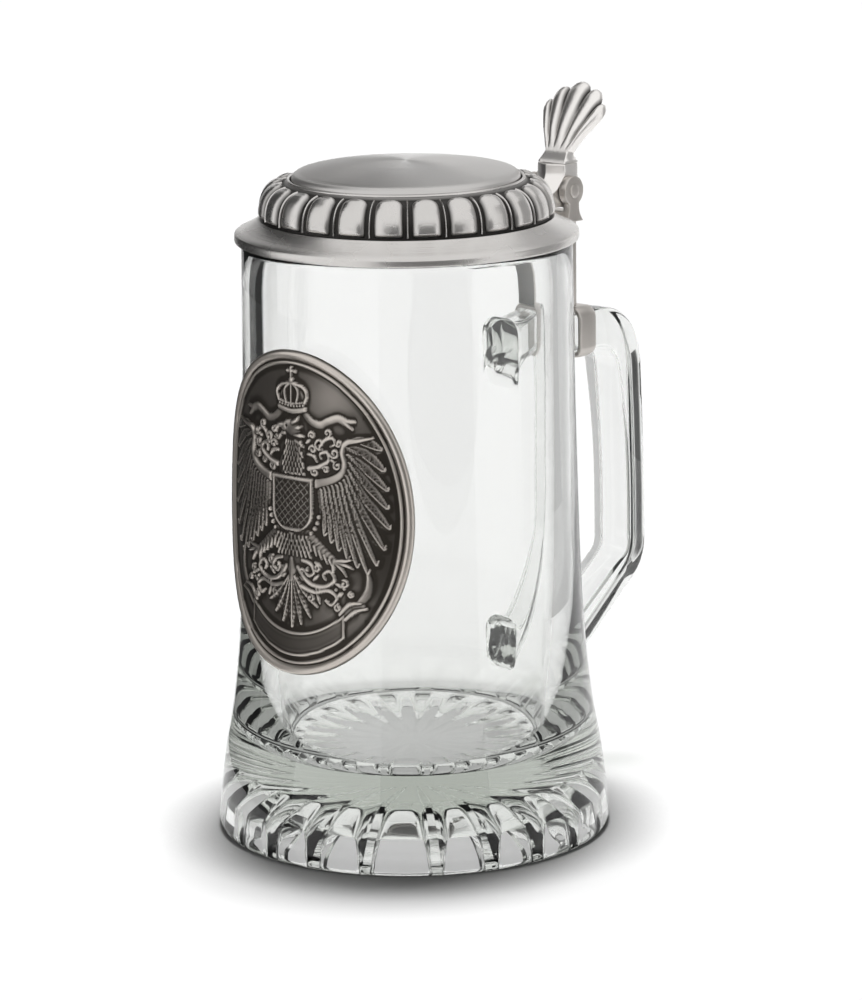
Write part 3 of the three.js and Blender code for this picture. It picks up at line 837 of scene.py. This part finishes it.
# Strap with its yoke and hinge cheeks, pin and collar
strapShape = {
    "outer": 63.9, "thick": 2.6, "width": 9.4, "bottom": 127.6, "yokeLow": 151.0, "yokeTop": 153.9,
    "gap": 4.95, "cheek": 2.2, "disc": 3.95, "waist": 2.1, "foot": 3.4, "edge": 0.3,
}
pinShape = {"radius": 1.9, "half": 7.35, "dome": 0.25, "segments": 48}
collarShape = {
    "start": 62.0, "length": 6.8, "half": 7.3, "rise": 6.7, "corner": 3.2, "wall": 1.0,
    "edge": 0.3, "bulge": 0.25,
}


def makeStrap(values):
    outer = axisX + values["outer"]
    upright = [(outer - values["thick"], values["bottom"]), (outer, values["bottom"]),
               (outer, values["yokeTop"] - 0.5), (outer - values["thick"], values["yokeTop"] - 0.5)]
    half = values["width"] / 2
    strap = newPiece("hingeStrap", *slab(upright, (-half, half)), fittingPewter)
    rounded(strap, 0.45)
    low, waist = values["yokeLow"], hingeZ - values["disc"] * 0.86
    slim, foot = values["waist"], values["foot"]
    left = bend((hingeX - foot, low), (hingeX - slim * 0.9, low + 2.2), (hingeX - slim, waist), 6)
    right = bend((hingeX + slim, waist), (hingeX + slim * 0.9, low + 2.2), (hingeX + foot + 0.5, low), 6)
    disc = arc((hingeX, hingeZ), values["disc"], 238, -58, 40)
    cheek = np.vstack([left[:-1], disc, right[1:]])
    others = []
    for side in (-1, 1):
        inside = side * values["gap"]
        outside = side * (values["gap"] + values["cheek"])
        plate = newPiece("cheek", *slab(cheek, sorted((inside, outside))), fittingPewter)
        others.append(rounded(plate, values["edge"]))
    half = values["gap"] + values["cheek"] - 0.4
    block = [(hingeX - values["foot"] + 0.4, low + 0.15), (hingeX + values["foot"], low + 0.15),
             (hingeX + foot - 0.8, values["yokeTop"]), (hingeX - foot + 1.2, values["yokeTop"])]
    yoke = newPiece("yoke", *slab(block, (-half, half)), fittingPewter)
    others.append(rounded(yoke, values["edge"]))
    joined(strap, *others)
    inside = outer - values["thick"] + 0.15
    return tarnish(strap, lambda x, y, z: 0.9 * ((x < inside) & (z < values["yokeLow"])))


def makePin(values):
    end, radius, dome, count = [values[name] for name in ("half", "radius", "dome", "segments")]
    head = [(0, end + dome), (radius * 0.45, end + dome * 0.85), (radius * 0.75, end + dome * 0.5),
            (radius * 0.95, end), (radius, end - 0.2)]
    profile = np.array(head + [(radius, 0)] + [(r, -h) for r, h in head[::-1]])
    turn = np.linspace(0, 2 * math.pi, count, endpoint=False)
    x = hingeX + np.outer(profile[:, 0], np.cos(turn))
    z = hingeZ + np.outer(profile[:, 0], np.sin(turn))
    y = np.repeat(profile[:, 1:2], count, axis=1)
    points = np.stack([x, y, z], axis=-1).reshape(-1, 3)
    return newPiece("hingePin", points, gridFaces(len(profile), count, False, True), fittingPewter)


def makeCollar(values):
    middle = handleShape["top"] - handleShape["depth"] / 2
    stations = np.linspace(0, 1, 13)
    rows = [(s, values["bulge"] * (1 - (2 * s - 1) ** 2)) for s in stations]  # outside, then the lining
    rows += [(s, -values["wall"]) for s in stations[::-1]]
    rings = []
    for s, swell in rows:
        corner = values["corner"] + min(swell, 0)
        across, up = roundedBox(values["half"] + swell, values["rise"] + swell, corner)
        along = np.full_like(across, axisX + values["start"] + values["length"] * s)
        rings.append(np.column_stack([along, across, middle + up]))
    faces = gridFaces(len(rings), len(rings[0]), True, True)
    collar = newPiece("handleCollar", np.vstack(rings), faces, fittingPewter)
    rounded(collar, values["edge"], 2, 60)
    across, up = values["half"] - values["wall"] + 0.2, values["rise"] - values["wall"] + 0.2
    return tarnish(collar, lambda x, y, z: 0.3 * ((np.abs(y) < across) & (np.abs(z - middle) < up)))


settle(makeStrap(strapShape), "mug", "pewter", "hinge_strap")
settle(makePin(pinShape), "mug", "pewter", "hinge_pin")
settle(makeCollar(collarShape), "mug", "pewter", "handle_collar")
print("strap, pin and collar made")

# Badge: oval plate bent round the glass, with a raised relief
badgeShape = {
    "width": 65.0, "height": 83.0, "centre": 91.0, "standOff": 1.1, "thick": 1.9, "field": 1.0, "rim": 2.3,
    "bead": 0.9, "tone": 0.89, "hollow": 1.4, "fine": 4.6, "grid": 300,
    # painted sheen and painted shade on the field, standing in for reflections: how much (above zero
    # lighter, below zero darker), middle and half widths
    "paintedLightPatches": [(0.34, (12, 30), (7, 7)), (-0.10, (24, -4), (5, 14)), (0.22, (15, -23), (6, 5))],
}


# Square grid spread evenly over a disc
def discGrid(count):
    a, b = np.meshgrid(np.linspace(-1, 1, count), np.linspace(-1, 1, count))
    wide = np.abs(a) >= np.abs(b)
    radius = np.where(wide, a, b)
    shorter, longer = np.where(wide, b, a), np.where(wide, a, b)
    ratio = np.divide(shorter, longer, out=np.zeros_like(a), where=longer != 0)
    angle = np.where(wide, math.pi / 4 * ratio, math.pi / 2 - math.pi / 4 * ratio)
    return radius * np.cos(angle), radius * np.sin(angle)


class Relief:
    def __init__(self, u, v):
        self.u, self.v = u.ravel(), v.ravel()
        self.height = np.zeros(self.u.size)

    # a round-backed line through the points, its half width going from start through middle to end;
    # barb cuts it across like the barbs of a feather, lap makes it a slope from one edge to the other
    def line(self, points, widths, height, tilt=0.0, steps=8, barb=0.0, lap=0.0):
        path = smoothCurve(points, steps) if len(points) > 2 else np.array(points, float)
        reach = max(widths) + 0.1
        inside = (self.u > path[:, 0].min() - reach) & (self.u < path[:, 0].max() + reach)
        inside &= (self.v > path[:, 1].min() - reach) & (self.v < path[:, 1].max() + reach)
        spot = np.flatnonzero(inside)
        if not spot.size:
            return
        pu, pv = self.u[spot], self.v[spot]
        best = np.zeros(spot.size)
        lengths = np.linalg.norm(np.diff(path, axis=0), axis=1)
        ends = np.concatenate([[0], np.cumsum(lengths)]) / lengths.sum()
        places = np.linspace(0, 1, len(widths))
        for a, b, first, last in zip(path, path[1:], ends, ends[1:]):
            du, dv = b - a
            t = np.clip(((pu - a[0]) * du + (pv - a[1]) * dv) / max(du * du + dv * dv, 1e-9), 0, 1)
            offU, offV = pu - a[0] - t * du, pv - a[1] - t * dv
            along = first + (last - first) * t
            half = np.interp(along, places, widths)
            away = np.hypot(offU, offV) / np.maximum(half, 1e-3)
            level = np.sqrt(np.clip(1 - away**2, 0, 1))
            side = np.sign(du * offV - dv * offU) * np.minimum(away, 1)
            if lap:
                slope = 1 - abs(lap) * 0.5 * (1 - np.sign(lap) * side)
                level = slope * np.clip((1 - away) / 0.15, 0, 1)
            if tilt:  # one edge of the line stands higher than the other
                level = level * (1 + tilt * side) / (1 + abs(tilt))
            if barb:
                turns = (along * lengths.sum() - 0.5 * np.minimum(away, 1)) / 1.2
                level = level * (1 - barb * (0.5 + 0.5 * np.cos(2 * math.pi * turns)))
            best = np.maximum(best, level)
        self.height[spot] = np.maximum(self.height[spot], height * best)

    def both(self, points, widths, height, tilt=0.0, steps=8, barb=0.0, lap=0.0):
        for side in (1, -1):
            mirrored = [(side * u, v) for u, v in points]
            self.line(mirrored, widths, height, tilt * side, steps, barb, lap * side)

    def dot(self, spot, radius, height, mirrored=False):
        ends = [spot, (spot[0] + 0.02, spot[1])]
        (self.both if mirrored else self.line)(ends, (radius, radius), height)

    # a curl that winds in from its rim, on both sides
    def curl(self, centre, radius, start, turns, height=0.72):
        winding = np.radians(start) + np.linspace(0, 2 * math.pi * turns, 13)
        shrink = radius * np.linspace(1, 0.25, 13)
        u, v = centre[0] + shrink * np.cos(winding), centre[1] + shrink * np.sin(winding)
        self.both(list(zip(u, v)), (0.24, 0.42, 0.36, 0.46), height, steps=3)

    # a raised area where the signed distance is below zero, with a soft edge
    def area(self, distance, height, edge=0.5):
        self.height = np.maximum(self.height, height * smoothstep(-distance, -0.05, edge))

    def cut(self, distance, floor, edge=0.3):
        lower = np.minimum(self.height, floor + np.maximum(0, distance + edge))
        self.height = np.where(distance < 0, lower, self.height)


# The wing feathers of one side: root, middle and tip
feathers = [
    ((15.4, 18.8), (19.2, 19.4), (23.8, 18.0)), ((15.6, 17.8), (19.8, 16.2), (24.5, 12.9)),
    ((15.8, 16.2), (20.2, 12.2), (25.3, 8.0)), ((15.8, 14.4), (20.4, 8.2), (25.3, 3.5)),
    ((15.6, 12.6), (20.2, 4.2), (25.7, -1.6)), ((15.2, 11.2), (19.5, 0.8), (24.4, -6.8)),
    ((14.6, 10.2), (18.4, -2.0), (22.6, -10.8)), ((13.6, 9.4), (16.9, -3.6), (20.4, -13.0)),
    ((12.6, 8.8), (15.3, -3.6), (17.9, -11.6)), ((11.5, 8.4), (13.7, -2.8), (15.5, -9.8)),
    ((10.4, 8.0), (12.1, -1.6), (13.2, -7.8)), ((9.3, 7.6), (10.5, -0.4), (11.2, -6.0)),
    ((8.4, 7.0), (9.1, 0.4), (9.4, -4.4)),
]


# Traditional spread eagle with crown, plain shield, scrolls and an empty ribbon
def carveRelief(relief):
    u, v = relief.u, relief.v
    for k, (root, middle, tip) in enumerate(feathers):
        hook = (tip[0] + 0.9, tip[1] + 0.5)
        near = feathers[k + 1] if k + 1 < len(feathers) else feathers[k - 1]
        broad, fine = [math.dist(a, b) * 0.6 for a, b in ((middle, near[1]), (tip, near[2]))]
        widths = (0.8, 0.8 * broad, broad, 0.75 * fine, 0.5 * fine, 0.2)
        relief.both([root, middle, tip, hook], widths, 0.52, barb=0.12, lap=0.75)
        relief.both([middle, tip, hook], (0.1, 0.16, 0.26, 0.24), 0.60)
    for reach, lift in ((0.66, 0.58), (0.46, 0.64), (0.30, 0.70), (0.15, 0.76)):
        for root, middle, tip in feathers[1:]:
            way = np.array(middle) - root
            start, end = [root + way * (reach + step) for step in (-0.1, 0.1)]
            relief.both([tuple(start), tuple(end)], (0.8, 0.95, 0.4), lift, lap=0.6)
    wing = [(7.4, 8.4), (11.0, 9.4), (14.0, 11.2), (15.2, 14.0),
            (14.6, 17.0), (15.6, 19.4), (19.0, 20.2), (22.4, 21.0)]
    relief.both(wing, (1.3, 1.1, 0.95, 0.8, 0.3), 0.95)
    # curls between neck and wings
    relief.both([(5.2, 12.0), (8.0, 12.8), (10.8, 14.6), (10.4, 16.6), (8.6, 16.2), (8.8, 15.0)],
                (0.7, 0.6, 0.35), 0.75)
    relief.both([(8.4, 17.6), (9.6, 19.6), (11.8, 20.4), (12.6, 19.0), (11.4, 18.2)],
                (0.5, 0.55, 0.3), 0.72)
    relief.both([(4.8, 15.6), (6.6, 15.4), (7.6, 14.0)], (0.3, 0.6, 0.3), 0.7)
    for centre, radius, start, turns in (
        ((8.4, 18.6), 1.5, -60, -1.1), ((12.4, 16.6), 1.3, 200, 1.1), ((6.4, 17.0), 1.1, 180, -1.0),
        ((10.6, 21.6), 1.1, 250, 1.0), ((13.2, 13.4), 1.1, 120, 1.0), ((7.0, 11.4), 1.1, 150, 1.0),
        ((6.2, 20.6), 1.0, 200, -1.0), ((10.0, 12.2), 0.9, 160, -1.0), ((13.6, 19.2), 0.9, 210, 1.0),
    ):
        relief.curl(centre, radius, start, turns)
    for root, tip in (((10.9, 15.0), (12.4, 14.2)), ((8.2, 16.8), (7.4, 18.2)), ((4.4, 18.4), (5.6, 19.4))):
        relief.both([root, tip], (0.2, 0.6, 0.2), 0.70, 0.3)
    # legs and talons
    relief.both([(4.8, -5.5), (8.6, -8.6), (12.2, -10.8)], (2.0, 1.7, 0.9), 0.74, barb=0.3)
    for k in range(5):
        relief.both([(5.4 + 1.4 * k, -6.6 - 1.0 * k), (5.9 + 1.5 * k, -9.0 - 0.9 * k)], (0.65, 0.25), 0.88)
    for tip in ((17.0, -10.2), (17.2, -12.6), (15.4, -14.6), (11.8, -14.4)):
        middle = (12.2 + (tip[0] - 12.2) * 0.6, -11.0 + (tip[1] + 11.0) * 0.45)
        relief.both([(12.2, -11.0), middle, tip], (0.65, 0.6, 0.2), 0.85)
    # scrolls and leaves about the tail
    relief.both([(1.8, -13.6), (5.0, -17.2), (9.2, -17.8), (12.2, -15.8),
                 (11.0, -13.6), (9.2, -14.6), (9.8, -15.8)], (0.75, 0.6, 0.55, 0.35), 0.74)
    relief.both([(2.6, -18.4), (6.6, -19.4), (10.4, -18.6), (12.8, -20.2), (11.4, -22.2), (9.8, -21.2)],
                (0.7, 0.6, 0.5, 0.3), 0.70)
    relief.both([(3.2, -11.6), (5.6, -12.4), (6.6, -14.4), (5.0, -15.4), (4.0, -14.2), (4.8, -13.4)],
                (0.6, 0.5, 0.3), 0.74)
    for root, tip in (
        ((6.8, -11.8), (8.8, -12.8)), ((6.4, -16.4), (7.8, -15.0)), ((12.4, -16.6), (14.6, -17.6)),
        ((7.4, -20.0), (8.2, -22.2)), ((13.0, -20.0), (14.4, -18.8)), ((2.4, -16.0), (3.6, -16.8)),
    ):
        relief.both([root, tip], (0.25, 0.65, 0.2), 0.72, 0.3)
    for centre, radius, start, turns in (
        ((14.8, -16.6), 1.1, 120, -1.0), ((8.0, -18.6), 0.9, 60, 1.0), ((5.6, -21.0), 1.0, 80, -1.0),
        ((13.2, -22.8), 1.0, 90, 1.0), ((7.4, -13.0), 1.0, 200, 1.0), ((3.0, -14.8), 0.9, 30, 1.0),
        ((16.6, -19.2), 0.8, 100, 1.0),
    ):
        relief.curl(centre, radius, start, turns, 0.70)
    for spot in ((9.4, -15.2), (10.4, -21.6), (4.6, -14.0), (14.8, -17.8),
                 (7.4, -18.0), (12.6, -18.2), (2.2, -19.8)):
        relief.dot(spot, 0.45, 0.86, True)
    for tip, wide in (((0.0, -29.3), 1.25), ((2.9, -28.2), 1.15),
                      ((5.5, -26.0), 1.05), ((7.6, -23.2), 0.95)):
        middle = (tip[0] * 0.5, -16.0 + (tip[1] + 16.0) * 0.55)
        leaf = [(tip[0] * 0.12, -16.0), middle, tip]
        relief.both(leaf, (0.4, wide * 0.8, wide, 0.25), 0.66, 0.2, barb=0.3)
        relief.both(leaf, (0.18, 0.18, 0.12), 0.86)
    relief.line([(0, -11.5), (0, -17.2)], (0.9, 1.4, 0.6), 0.9)
    # body, neck and head turned to one side
    relief.line([(0, -10), (0, 4), (0, 12)], (4.6, 5.4, 4.4), 0.70)
    relief.line([(0, 10), (1.0, 16), (0.2, 20.6)], (4.0, 3.2, 2.4), 0.74)
    for row in range(7):
        for k in range(-3, 4):
            spread = 1.15 - 0.07 * row
            spot = (k * spread + (row % 2) * spread / 2 + 0.3 + 0.06 * row, 10.4 + 1.35 * row)
            if abs(spot[0] - 0.5) < 3.6 - 0.15 * row:
                relief.line([spot, (spot[0] + 0.1 * k, spot[1] - 1.0)], (0.55, 0.3), 0.88)
    for row in range(4):
        for k in range(-4, 5):
            spot = (k * 1.15 + (row % 2) * 0.55, -5.6 - 1.3 * row)
            relief.line([spot, (spot[0] + 0.12 * k, spot[1] - 1.2)], (0.55, 0.3), 0.84)
    relief.line([(0.6, 21.2), (-1.2, 22.2), (-2.2, 21.8)], (2.3, 2.0, 1.4), 0.95)
    relief.line([(-2.4, 22.2), (-4.4, 22.0), (-5.4, 20.4)], (0.95, 0.7, 0.2), 0.95)
    relief.line([(-2.2, 20.4), (-4.0, 19.8)], (0.6, 0.2), 0.88)
    relief.line([(-3.0, 20.6), (-4.6, 18.6), (-6.0, 18.8)], (0.3, 0.3, 0.15), 0.8)
    for k in range(6):
        turn = math.radians(50 - 28 * k)
        start = (0.4 + 0.32 * k, 23.2 - 1.5 * k)
        end = (start[0] + 2.9 * math.cos(turn), start[1] + 2.4 * math.sin(turn))
        middle = ((start[0] + end[0]) / 2 + 0.3, (start[1] + end[1]) / 2)
        relief.line([start, middle, end], (0.8, 0.6, 0.15), 0.9)
    eye = np.hypot(u + 1.5, v - 22.3)
    relief.height = np.where(eye < 0.45, 0.6, relief.height)
    # breast shield with a raised edge and a plain lattice, a chain of beads round it
    top, low, half = 9.6, -4.6, 6.6
    drop = np.clip((1.5 - v) / (1.5 - low), 0, 1)
    side = np.abs(u) - half * np.sqrt(np.clip(1 - drop**2.4, 0, 1))
    shield = np.maximum(side, np.maximum(v - top, low - v))
    relief.height = np.where(shield < 0.5, np.minimum(relief.height, 0.35), relief.height)
    relief.area(shield, 1.0, 0.3)
    relief.cut(shield + 0.75, 0.70)
    lattice = np.minimum(np.abs((u + v) % 2.0 - 1.0), np.abs((u - v) % 2.0 - 1.0))
    relief.height = np.where(shield < -0.95, np.maximum(relief.height, 0.84 - lattice * 0.7), relief.height)
    for k in range(15):
        turn = math.radians(190 + 160 * k / 14)
        spot = (8.1 * math.cos(turn), 1.4 + 8.4 * math.sin(turn))
        relief.dot(spot, 0.62, 0.9)
    # crown with bands, bows, orb and cross, and the ribbons falling from it
    relief.area(np.maximum(np.hypot(u / 4.5, (v - 28.6) / 4.6) - 1, 26.6 - v) * 3, 0.42, 0.5)
    relief.line([(-4.0, 26.9), (0, 26.2), (4.0, 26.9)], (0.85, 0.85), 0.86)
    relief.line([(-4.3, 28.7), (0, 28.0), (4.3, 28.7)], (0.32, 0.32), 0.86)
    for k in range(-4, 5):
        relief.dot((k * 0.94, 27.5 + 0.024 * k * k), 0.4, 0.95)
    relief.both([(4.1, 28.6), (4.8, 30.6), (3.6, 32.4), (0, 33.3)], (0.5, 0.5), 0.9)
    relief.both([(1.6, 28.2), (2.2, 30.8), (1.6, 32.3), (0, 33.3)], (0.45, 0.45), 0.9)
    relief.line([(0, 28.2), (0, 33.3)], (0.35, 0.35), 0.86)
    relief.line([(0, 33.9), (0, 34.0)], (0.95, 0.95), 0.95)
    relief.line([(0, 34.4), (0, 37.4)], (0.35, 0.35, 0.55), 0.92)
    relief.line([(-1.25, 36.3), (1.25, 36.3)], (0.5, 0.32, 0.5), 0.92)
    relief.both([(3.6, 26.2), (6.0, 24.0), (8.6, 23.4), (11.0, 24.6), (13.4, 25.4), (15.4, 24.6)],
                (0.9, 1.1, 1.0, 1.1), 0.62, 0.35)
    for tip in ((18.0, 24.9), (17.2, 22.9)):
        relief.both([(15.0, 24.7), tip], (0.7, 0.6, 0.35), 0.60, 0.2)
    # empty ribbon along the foot, with folded ends
    bow = v + 33.6 - 0.028 * u**2
    band = np.maximum(np.abs(bow) - 3.2, np.abs(u) - 15.0)
    relief.area(band, 0.52, 0.3)
    relief.cut(band + 0.55, 0.36)
    relief.both([(13.6, -24.4), (16.0, -21.8), (19.0, -21.2)], (0.5, 0.6, 0.4), 0.62)
    relief.both([(15.0, -25.6), (17.6, -23.4), (20.4, -22.6)], (0.5, 0.6, 0.4), 0.62)
    relief.both([(14.4, -25.0), (16.8, -22.6), (19.6, -21.9)], (1.0, 1.0, 0.6), 0.36)
    relief.both([(18.6, -21.4), (20.6, -18.8), (21.2, -15.6), (20.6, -12.6)],
                (0.9, 1.1, 0.9, 0.3), 0.56, 0.35)


def blurred(field, reach):
    for axis in (0, 1):
        edge = [(reach, reach) if k == axis else (0, 0) for k in (0, 1)]
        sums = np.cumsum(np.pad(field, edge, mode="edge"), axis=axis)
        sums = np.insert(sums, 0, 0, axis=axis)
        width = 2 * reach + 1
        count = sums.shape[axis]
        upper, lower = [np.take(sums, span, axis) for span in (range(width, count), range(count - width))]
        field = (upper - lower) / width
    return field


def makeBadge(values):
    du, dv = discGrid(values["grid"])
    halfU, halfV = values["width"] / 2, values["height"] / 2
    u, v = du * halfU, dv * halfV
    ring = np.hypot(du, dv)
    slope = np.hypot(du / halfU, dv / halfV) / np.maximum(ring, 1e-6)
    fromEdge = (1 - ring) / np.maximum(slope, 1e-6)
    relief = Relief(u, v)
    carveRelief(relief)
    carved = relief.height.reshape(u.shape)
    field = values["field"]
    roll = np.sqrt(np.clip(1 - ((fromEdge - values["rim"] / 2) / (values["rim"] / 2)) ** 2, 0, 1))
    beadAway = fromEdge - values["rim"] - 0.9
    bead = 0.5 * np.sqrt(np.clip(1 - (beadAway / (values["bead"] / 2)) ** 2, 0, 1))
    inside = smoothstep(fromEdge, values["rim"] + 1.4, values["rim"] + 2.0)
    level = field + np.maximum(carved * inside * (values["thick"] - field), bead)
    rolled = 0.75 * field + (values["thick"] - 0.75 * field) * roll
    level = np.where(fromEdge < values["rim"], rolled, level)
    hollow = blurred(level, 6) - level
    fine = blurred(level, 2) - level
    # painted sheen and painted shade: soft patches that lighten or darken the field in place of reflections
    paintedLightPatches = np.zeros_like(u)
    for share, (atU, atV), (wideU, wideV) in values["paintedLightPatches"]:
        paintedLightPatches += share * np.exp(-(((u - atU) / wideU) ** 2) - ((v - atV) / wideV) ** 2)
    # the patina here joins the real antiquing in the hollows with the painted light patches
    patina = np.clip(values["tone"] - paintedLightPatches + hollow * values["hollow"] + fine * values["fine"], 0, 1)
    patina = np.where(fromEdge < values["rim"], np.clip(0.80 - roll * 0.95, 0, 1), patina)
    bendRadius = wallRadius(values["centre"]) + values["standOff"]

    def onGlass(across, upward, rise):
        turn = math.pi + across / bendRadius
        height = values["centre"] + upward
        radius = wallRadius(height) + values["standOff"] + rise
        x, y = axisX + radius * np.cos(turn), radius * np.sin(turn)
        return np.column_stack([x.ravel(), y.ravel(), height.ravel()])

    count = values["grid"]
    front = onGlass(u, v, level)
    faces = gridFaces(count, count, False, False)
    rim = list(range(count)) + [i * count + count - 1 for i in range(1, count)]
    rim += [(count - 1) * count + j for j in range(count - 2, -1, -1)]
    rim += [i * count for i in range(count - 2, 0, -1)]
    rings = [front]
    marks = [patina.ravel()]
    total = count * count
    rimU, rimV = u.ravel()[rim], v.ravel()[rim]
    previous = rim
    for share in (0.995, 0.8, 0.55, 0.3, 0.12):
        rings.append(onGlass(rimU * share, rimV * share, np.zeros(len(rim))))
        marks.append(np.full(len(rim), 0.8))
        current = list(range(total, total + len(rim)))
        total += len(rim)
        for k in range(len(rim)):
            n = (k + 1) % len(rim)
            faces.append((previous[n], previous[k], current[k], current[n]))
        previous = current
    faces.append(tuple(previous))
    marks = {"patina": np.concatenate(marks)}
    return newPiece("reliefBadge", np.vstack(rings), faces, badgePewter, 70, marks)


badge = makeBadge(badgeShape)
settle(badge, "mug", "antique_pewter", "badge")
frame["nodes"]["badge_adhesive"].data.materials.clear()
frame["nodes"]["badge_adhesive"].data.materials.append(foamFinish)
print("badge struck,", len(badge.data.polygons), "faces")

# Floor, soft light and the dark flags that draw the edges of metal and glass
stageLook = {
    "floor": 0.90, "glow": 0.03, "ambient": 0.08, "gathered": 0.48, "gatherReach": (50.0, 62.0),
    # painted contact shadow: reach and sharpness of the darkening of the floor's colour near the mug
    "paintedContactShade": 20.0, "paintedContactShadeDepth": 1.8,
}
suns = [  # name, direction, height above the horizon, softness, strength
    ("backSun", 24.0, 79.5, 12.0, 2.50),
    ("leftSun", 62.0, 79.5, 12.0, 0.80),
]
# name, first and last direction round the mug, distance, height, level, seen through glass, in metal,
# and the height of the lower edge where it hangs clear of the floor
flags = [
    ("leftFlag", 72.0, 125.0, 0.30, 0.60, 0.04, True, True),
    ("leftScreen", 125.0, 153.0, 0.30, 0.80, 0.36, True, False),
    ("rightGlassScreen", -36.0, 6.0, 0.16, 0.60, 0.60, True, False),
    ("badgeFlag", 78.0, 124.0, 0.12, 0.125, 0.10, False, True),
    ("badgeScreen", 124.0, 158.0, 0.12, 0.125, 0.30, False, True),
    ("backLeftFlag", 47.0, 60.0, 0.31, 0.60, 0.06, False, True, 0.265),
    ("backLeftScreen", 60.0, 72.0, 0.31, 0.60, 0.50, False, True),
    ("backRightFlag", -18.0, 36.0, 0.45, 0.60, 0.50, False, True, 0.33),
    ("topScreen", 40.0, 49.0, 0.40, 0.60, 0.20, False, True, 0.27),
    ("rightScreen", -60.0, -18.0, 0.45, 0.50, 0.40, False, True),
    ("frontScreen", 202.0, 262.0, 0.30, 0.22, 0.22, False, True),
    ("handleScreen", 103.0, 137.0, 0.17, 0.24, 0.07, True, False),
]


def makeFloor(values):
    mesh = bpy.data.meshes.new("floor")
    mesh.from_pydata([(-6, -6, 0), (6, -6, 0), (6, 6, 0), (-6, 6, 0)], [], [(0, 1, 2, 3)])
    floor = bpy.data.objects.new("floor", mesh)
    scene.collection.objects.link(floor)
    material, graph = newFinish("paleFloor")
    rays = ("Is Camera Ray", "Is Transmission Ray")
    seen, through = [graph.node("ShaderNodeLightPath", {}, {}, ray) for ray in rays]
    where = graph.node("ShaderNodeTexCoord", {}, {}, "Object")
    x, y = [graph.node("ShaderNodeSeparateXYZ", {}, {0: where}, k) for k in (0, 1)]
    away = x - axisX * mm
    near, far = [reach * mm for reach in values["gatherReach"]]
    # light that the glass gathers under the foot
    under = ((far - (away * away + y * y) ** 0.5) / (far - near)).clamp()
    level = seen * values["glow"] + through * under * values["gathered"]
    # painted contact shadow: ambient occlusion darkens the floor's colour near the mug's foot
    paintedContactShade = graph.node("ShaderNodeAmbientOcclusion", {"samples": 8}, {"Distance": values["paintedContactShade"] * mm}, "AO")
    shade = graph.mix(paintedContactShade ** values["paintedContactShadeDepth"], grey(0.02), grey(values["floor"]))
    plain = graph.node("ShaderNodeBsdfDiffuse", {}, {"Color": shade})
    colour = graph.mix(level.clamp(), grey(0.0), grey(1.0))
    glow = graph.node("ShaderNodeEmission", {}, {"Color": colour, "Strength": 1.0})
    finishSurface(graph, graph.node("ShaderNodeAddShader", {}, {0: plain, 1: glow}))
    mesh.materials.append(material)


def makeFlag(name, first, last, away, height, level, throughGlass, inMetal, hung=0.0):
    share = np.linspace(0, 1, 17)
    turn = np.radians(first + (last - first) * share)
    foot = np.column_stack([axisX * mm + away * np.cos(turn), away * np.sin(turn), np.zeros_like(turn)])
    points = np.vstack([foot + (0, 0, hung + (height - hung) * rise) for rise in (0, 0.5, 1)])
    mesh = bpy.data.meshes.new(name)
    mesh.from_pydata(points.tolist(), [], gridFaces(3, len(turn), False, False))
    # a screen that only the glass shows fades out towards its sides and top
    middle = np.ones(len(turn)) if inMetal else np.clip(np.minimum(share, 1 - share) * 5, 0, 1)
    body = np.concatenate([middle, middle, middle if inMetal else 0 * middle])
    mesh.attributes.new("body", "FLOAT", "POINT").data.foreach_set("value", body.astype(np.float32))
    flag = bpy.data.objects.new(name, mesh)
    scene.collection.objects.link(flag)
    material, graph = newFinish(name + "Cloth")
    shade = graph.mix(graph.attribute("body"), grey(1.0), grey(level))
    cloth = graph.node("ShaderNodeEmission", {}, {"Color": shade, "Strength": 1.0})
    passing = graph.node("ShaderNodeLightPath", {}, {}, "Is Transmission Ray")
    if throughGlass:  # seen in the glass's edges, never straight through both its walls
        crossed = graph.node("ShaderNodeLightPath", {}, {}, "Transmission Depth")
        passing = passing * (crossed - 3.0).clamp()
    clear = graph.node("ShaderNodeBsdfTransparent", {}, {"Color": (1, 1, 1, 1)})
    finishSurface(graph, graph.node("ShaderNodeMixShader", {}, {0: passing, 1: cloth, 2: clear}))
    mesh.materials.append(material)
    flag.visible_camera = False
    flag.visible_diffuse = False
    flag.visible_shadow = False
    flag.visible_glossy = inMetal


def makeLight(values):
    world = bpy.data.worlds.new("whiteStudio")
    scene.world = world
    world.use_nodes = True
    world.node_tree.nodes.clear()
    graph = Graph(world.node_tree)
    kinds = ("Is Camera Ray", "Is Glossy Ray", "Is Transmission Ray")
    sight = [graph.node("ShaderNodeLightPath", {}, {}, kind) for kind in kinds]
    seen = (sight[0] + sight[1] + sight[2]).clamp()
    dim = graph.node("ShaderNodeBackground", {}, {"Color": (1, 1, 1, 1), "Strength": values["ambient"]})
    white = graph.node("ShaderNodeBackground", {}, {"Color": (1, 1, 1, 1), "Strength": 1.0})
    both = graph.node("ShaderNodeMixShader", {}, {0: seen, 1: dim, 2: white})
    graph.node("ShaderNodeOutputWorld", {}, {"Surface": both})


def makeSun(name, turn, rise, soft, strength):
    data = bpy.data.lights.new(name, "SUN")
    data.energy = strength
    data.angle = math.radians(soft)
    sun = bpy.data.objects.new(name, data)
    turn, rise = math.radians(turn), math.radians(rise)
    aim = Vector((math.cos(turn) * math.cos(rise), math.sin(turn) * math.cos(rise), math.sin(rise)))
    sun.rotation_euler = aim.to_track_quat("Z", "Y").to_euler()
    sun.visible_glossy = False
    sun.visible_transmission = False
    scene.collection.objects.link(sun)


makeFloor(stageLook)
for flagValues in flags:
    makeFlag(*flagValues)
makeLight(stageLook)
for sunValues in suns:
    makeSun(*sunValues)
print("stage lit")
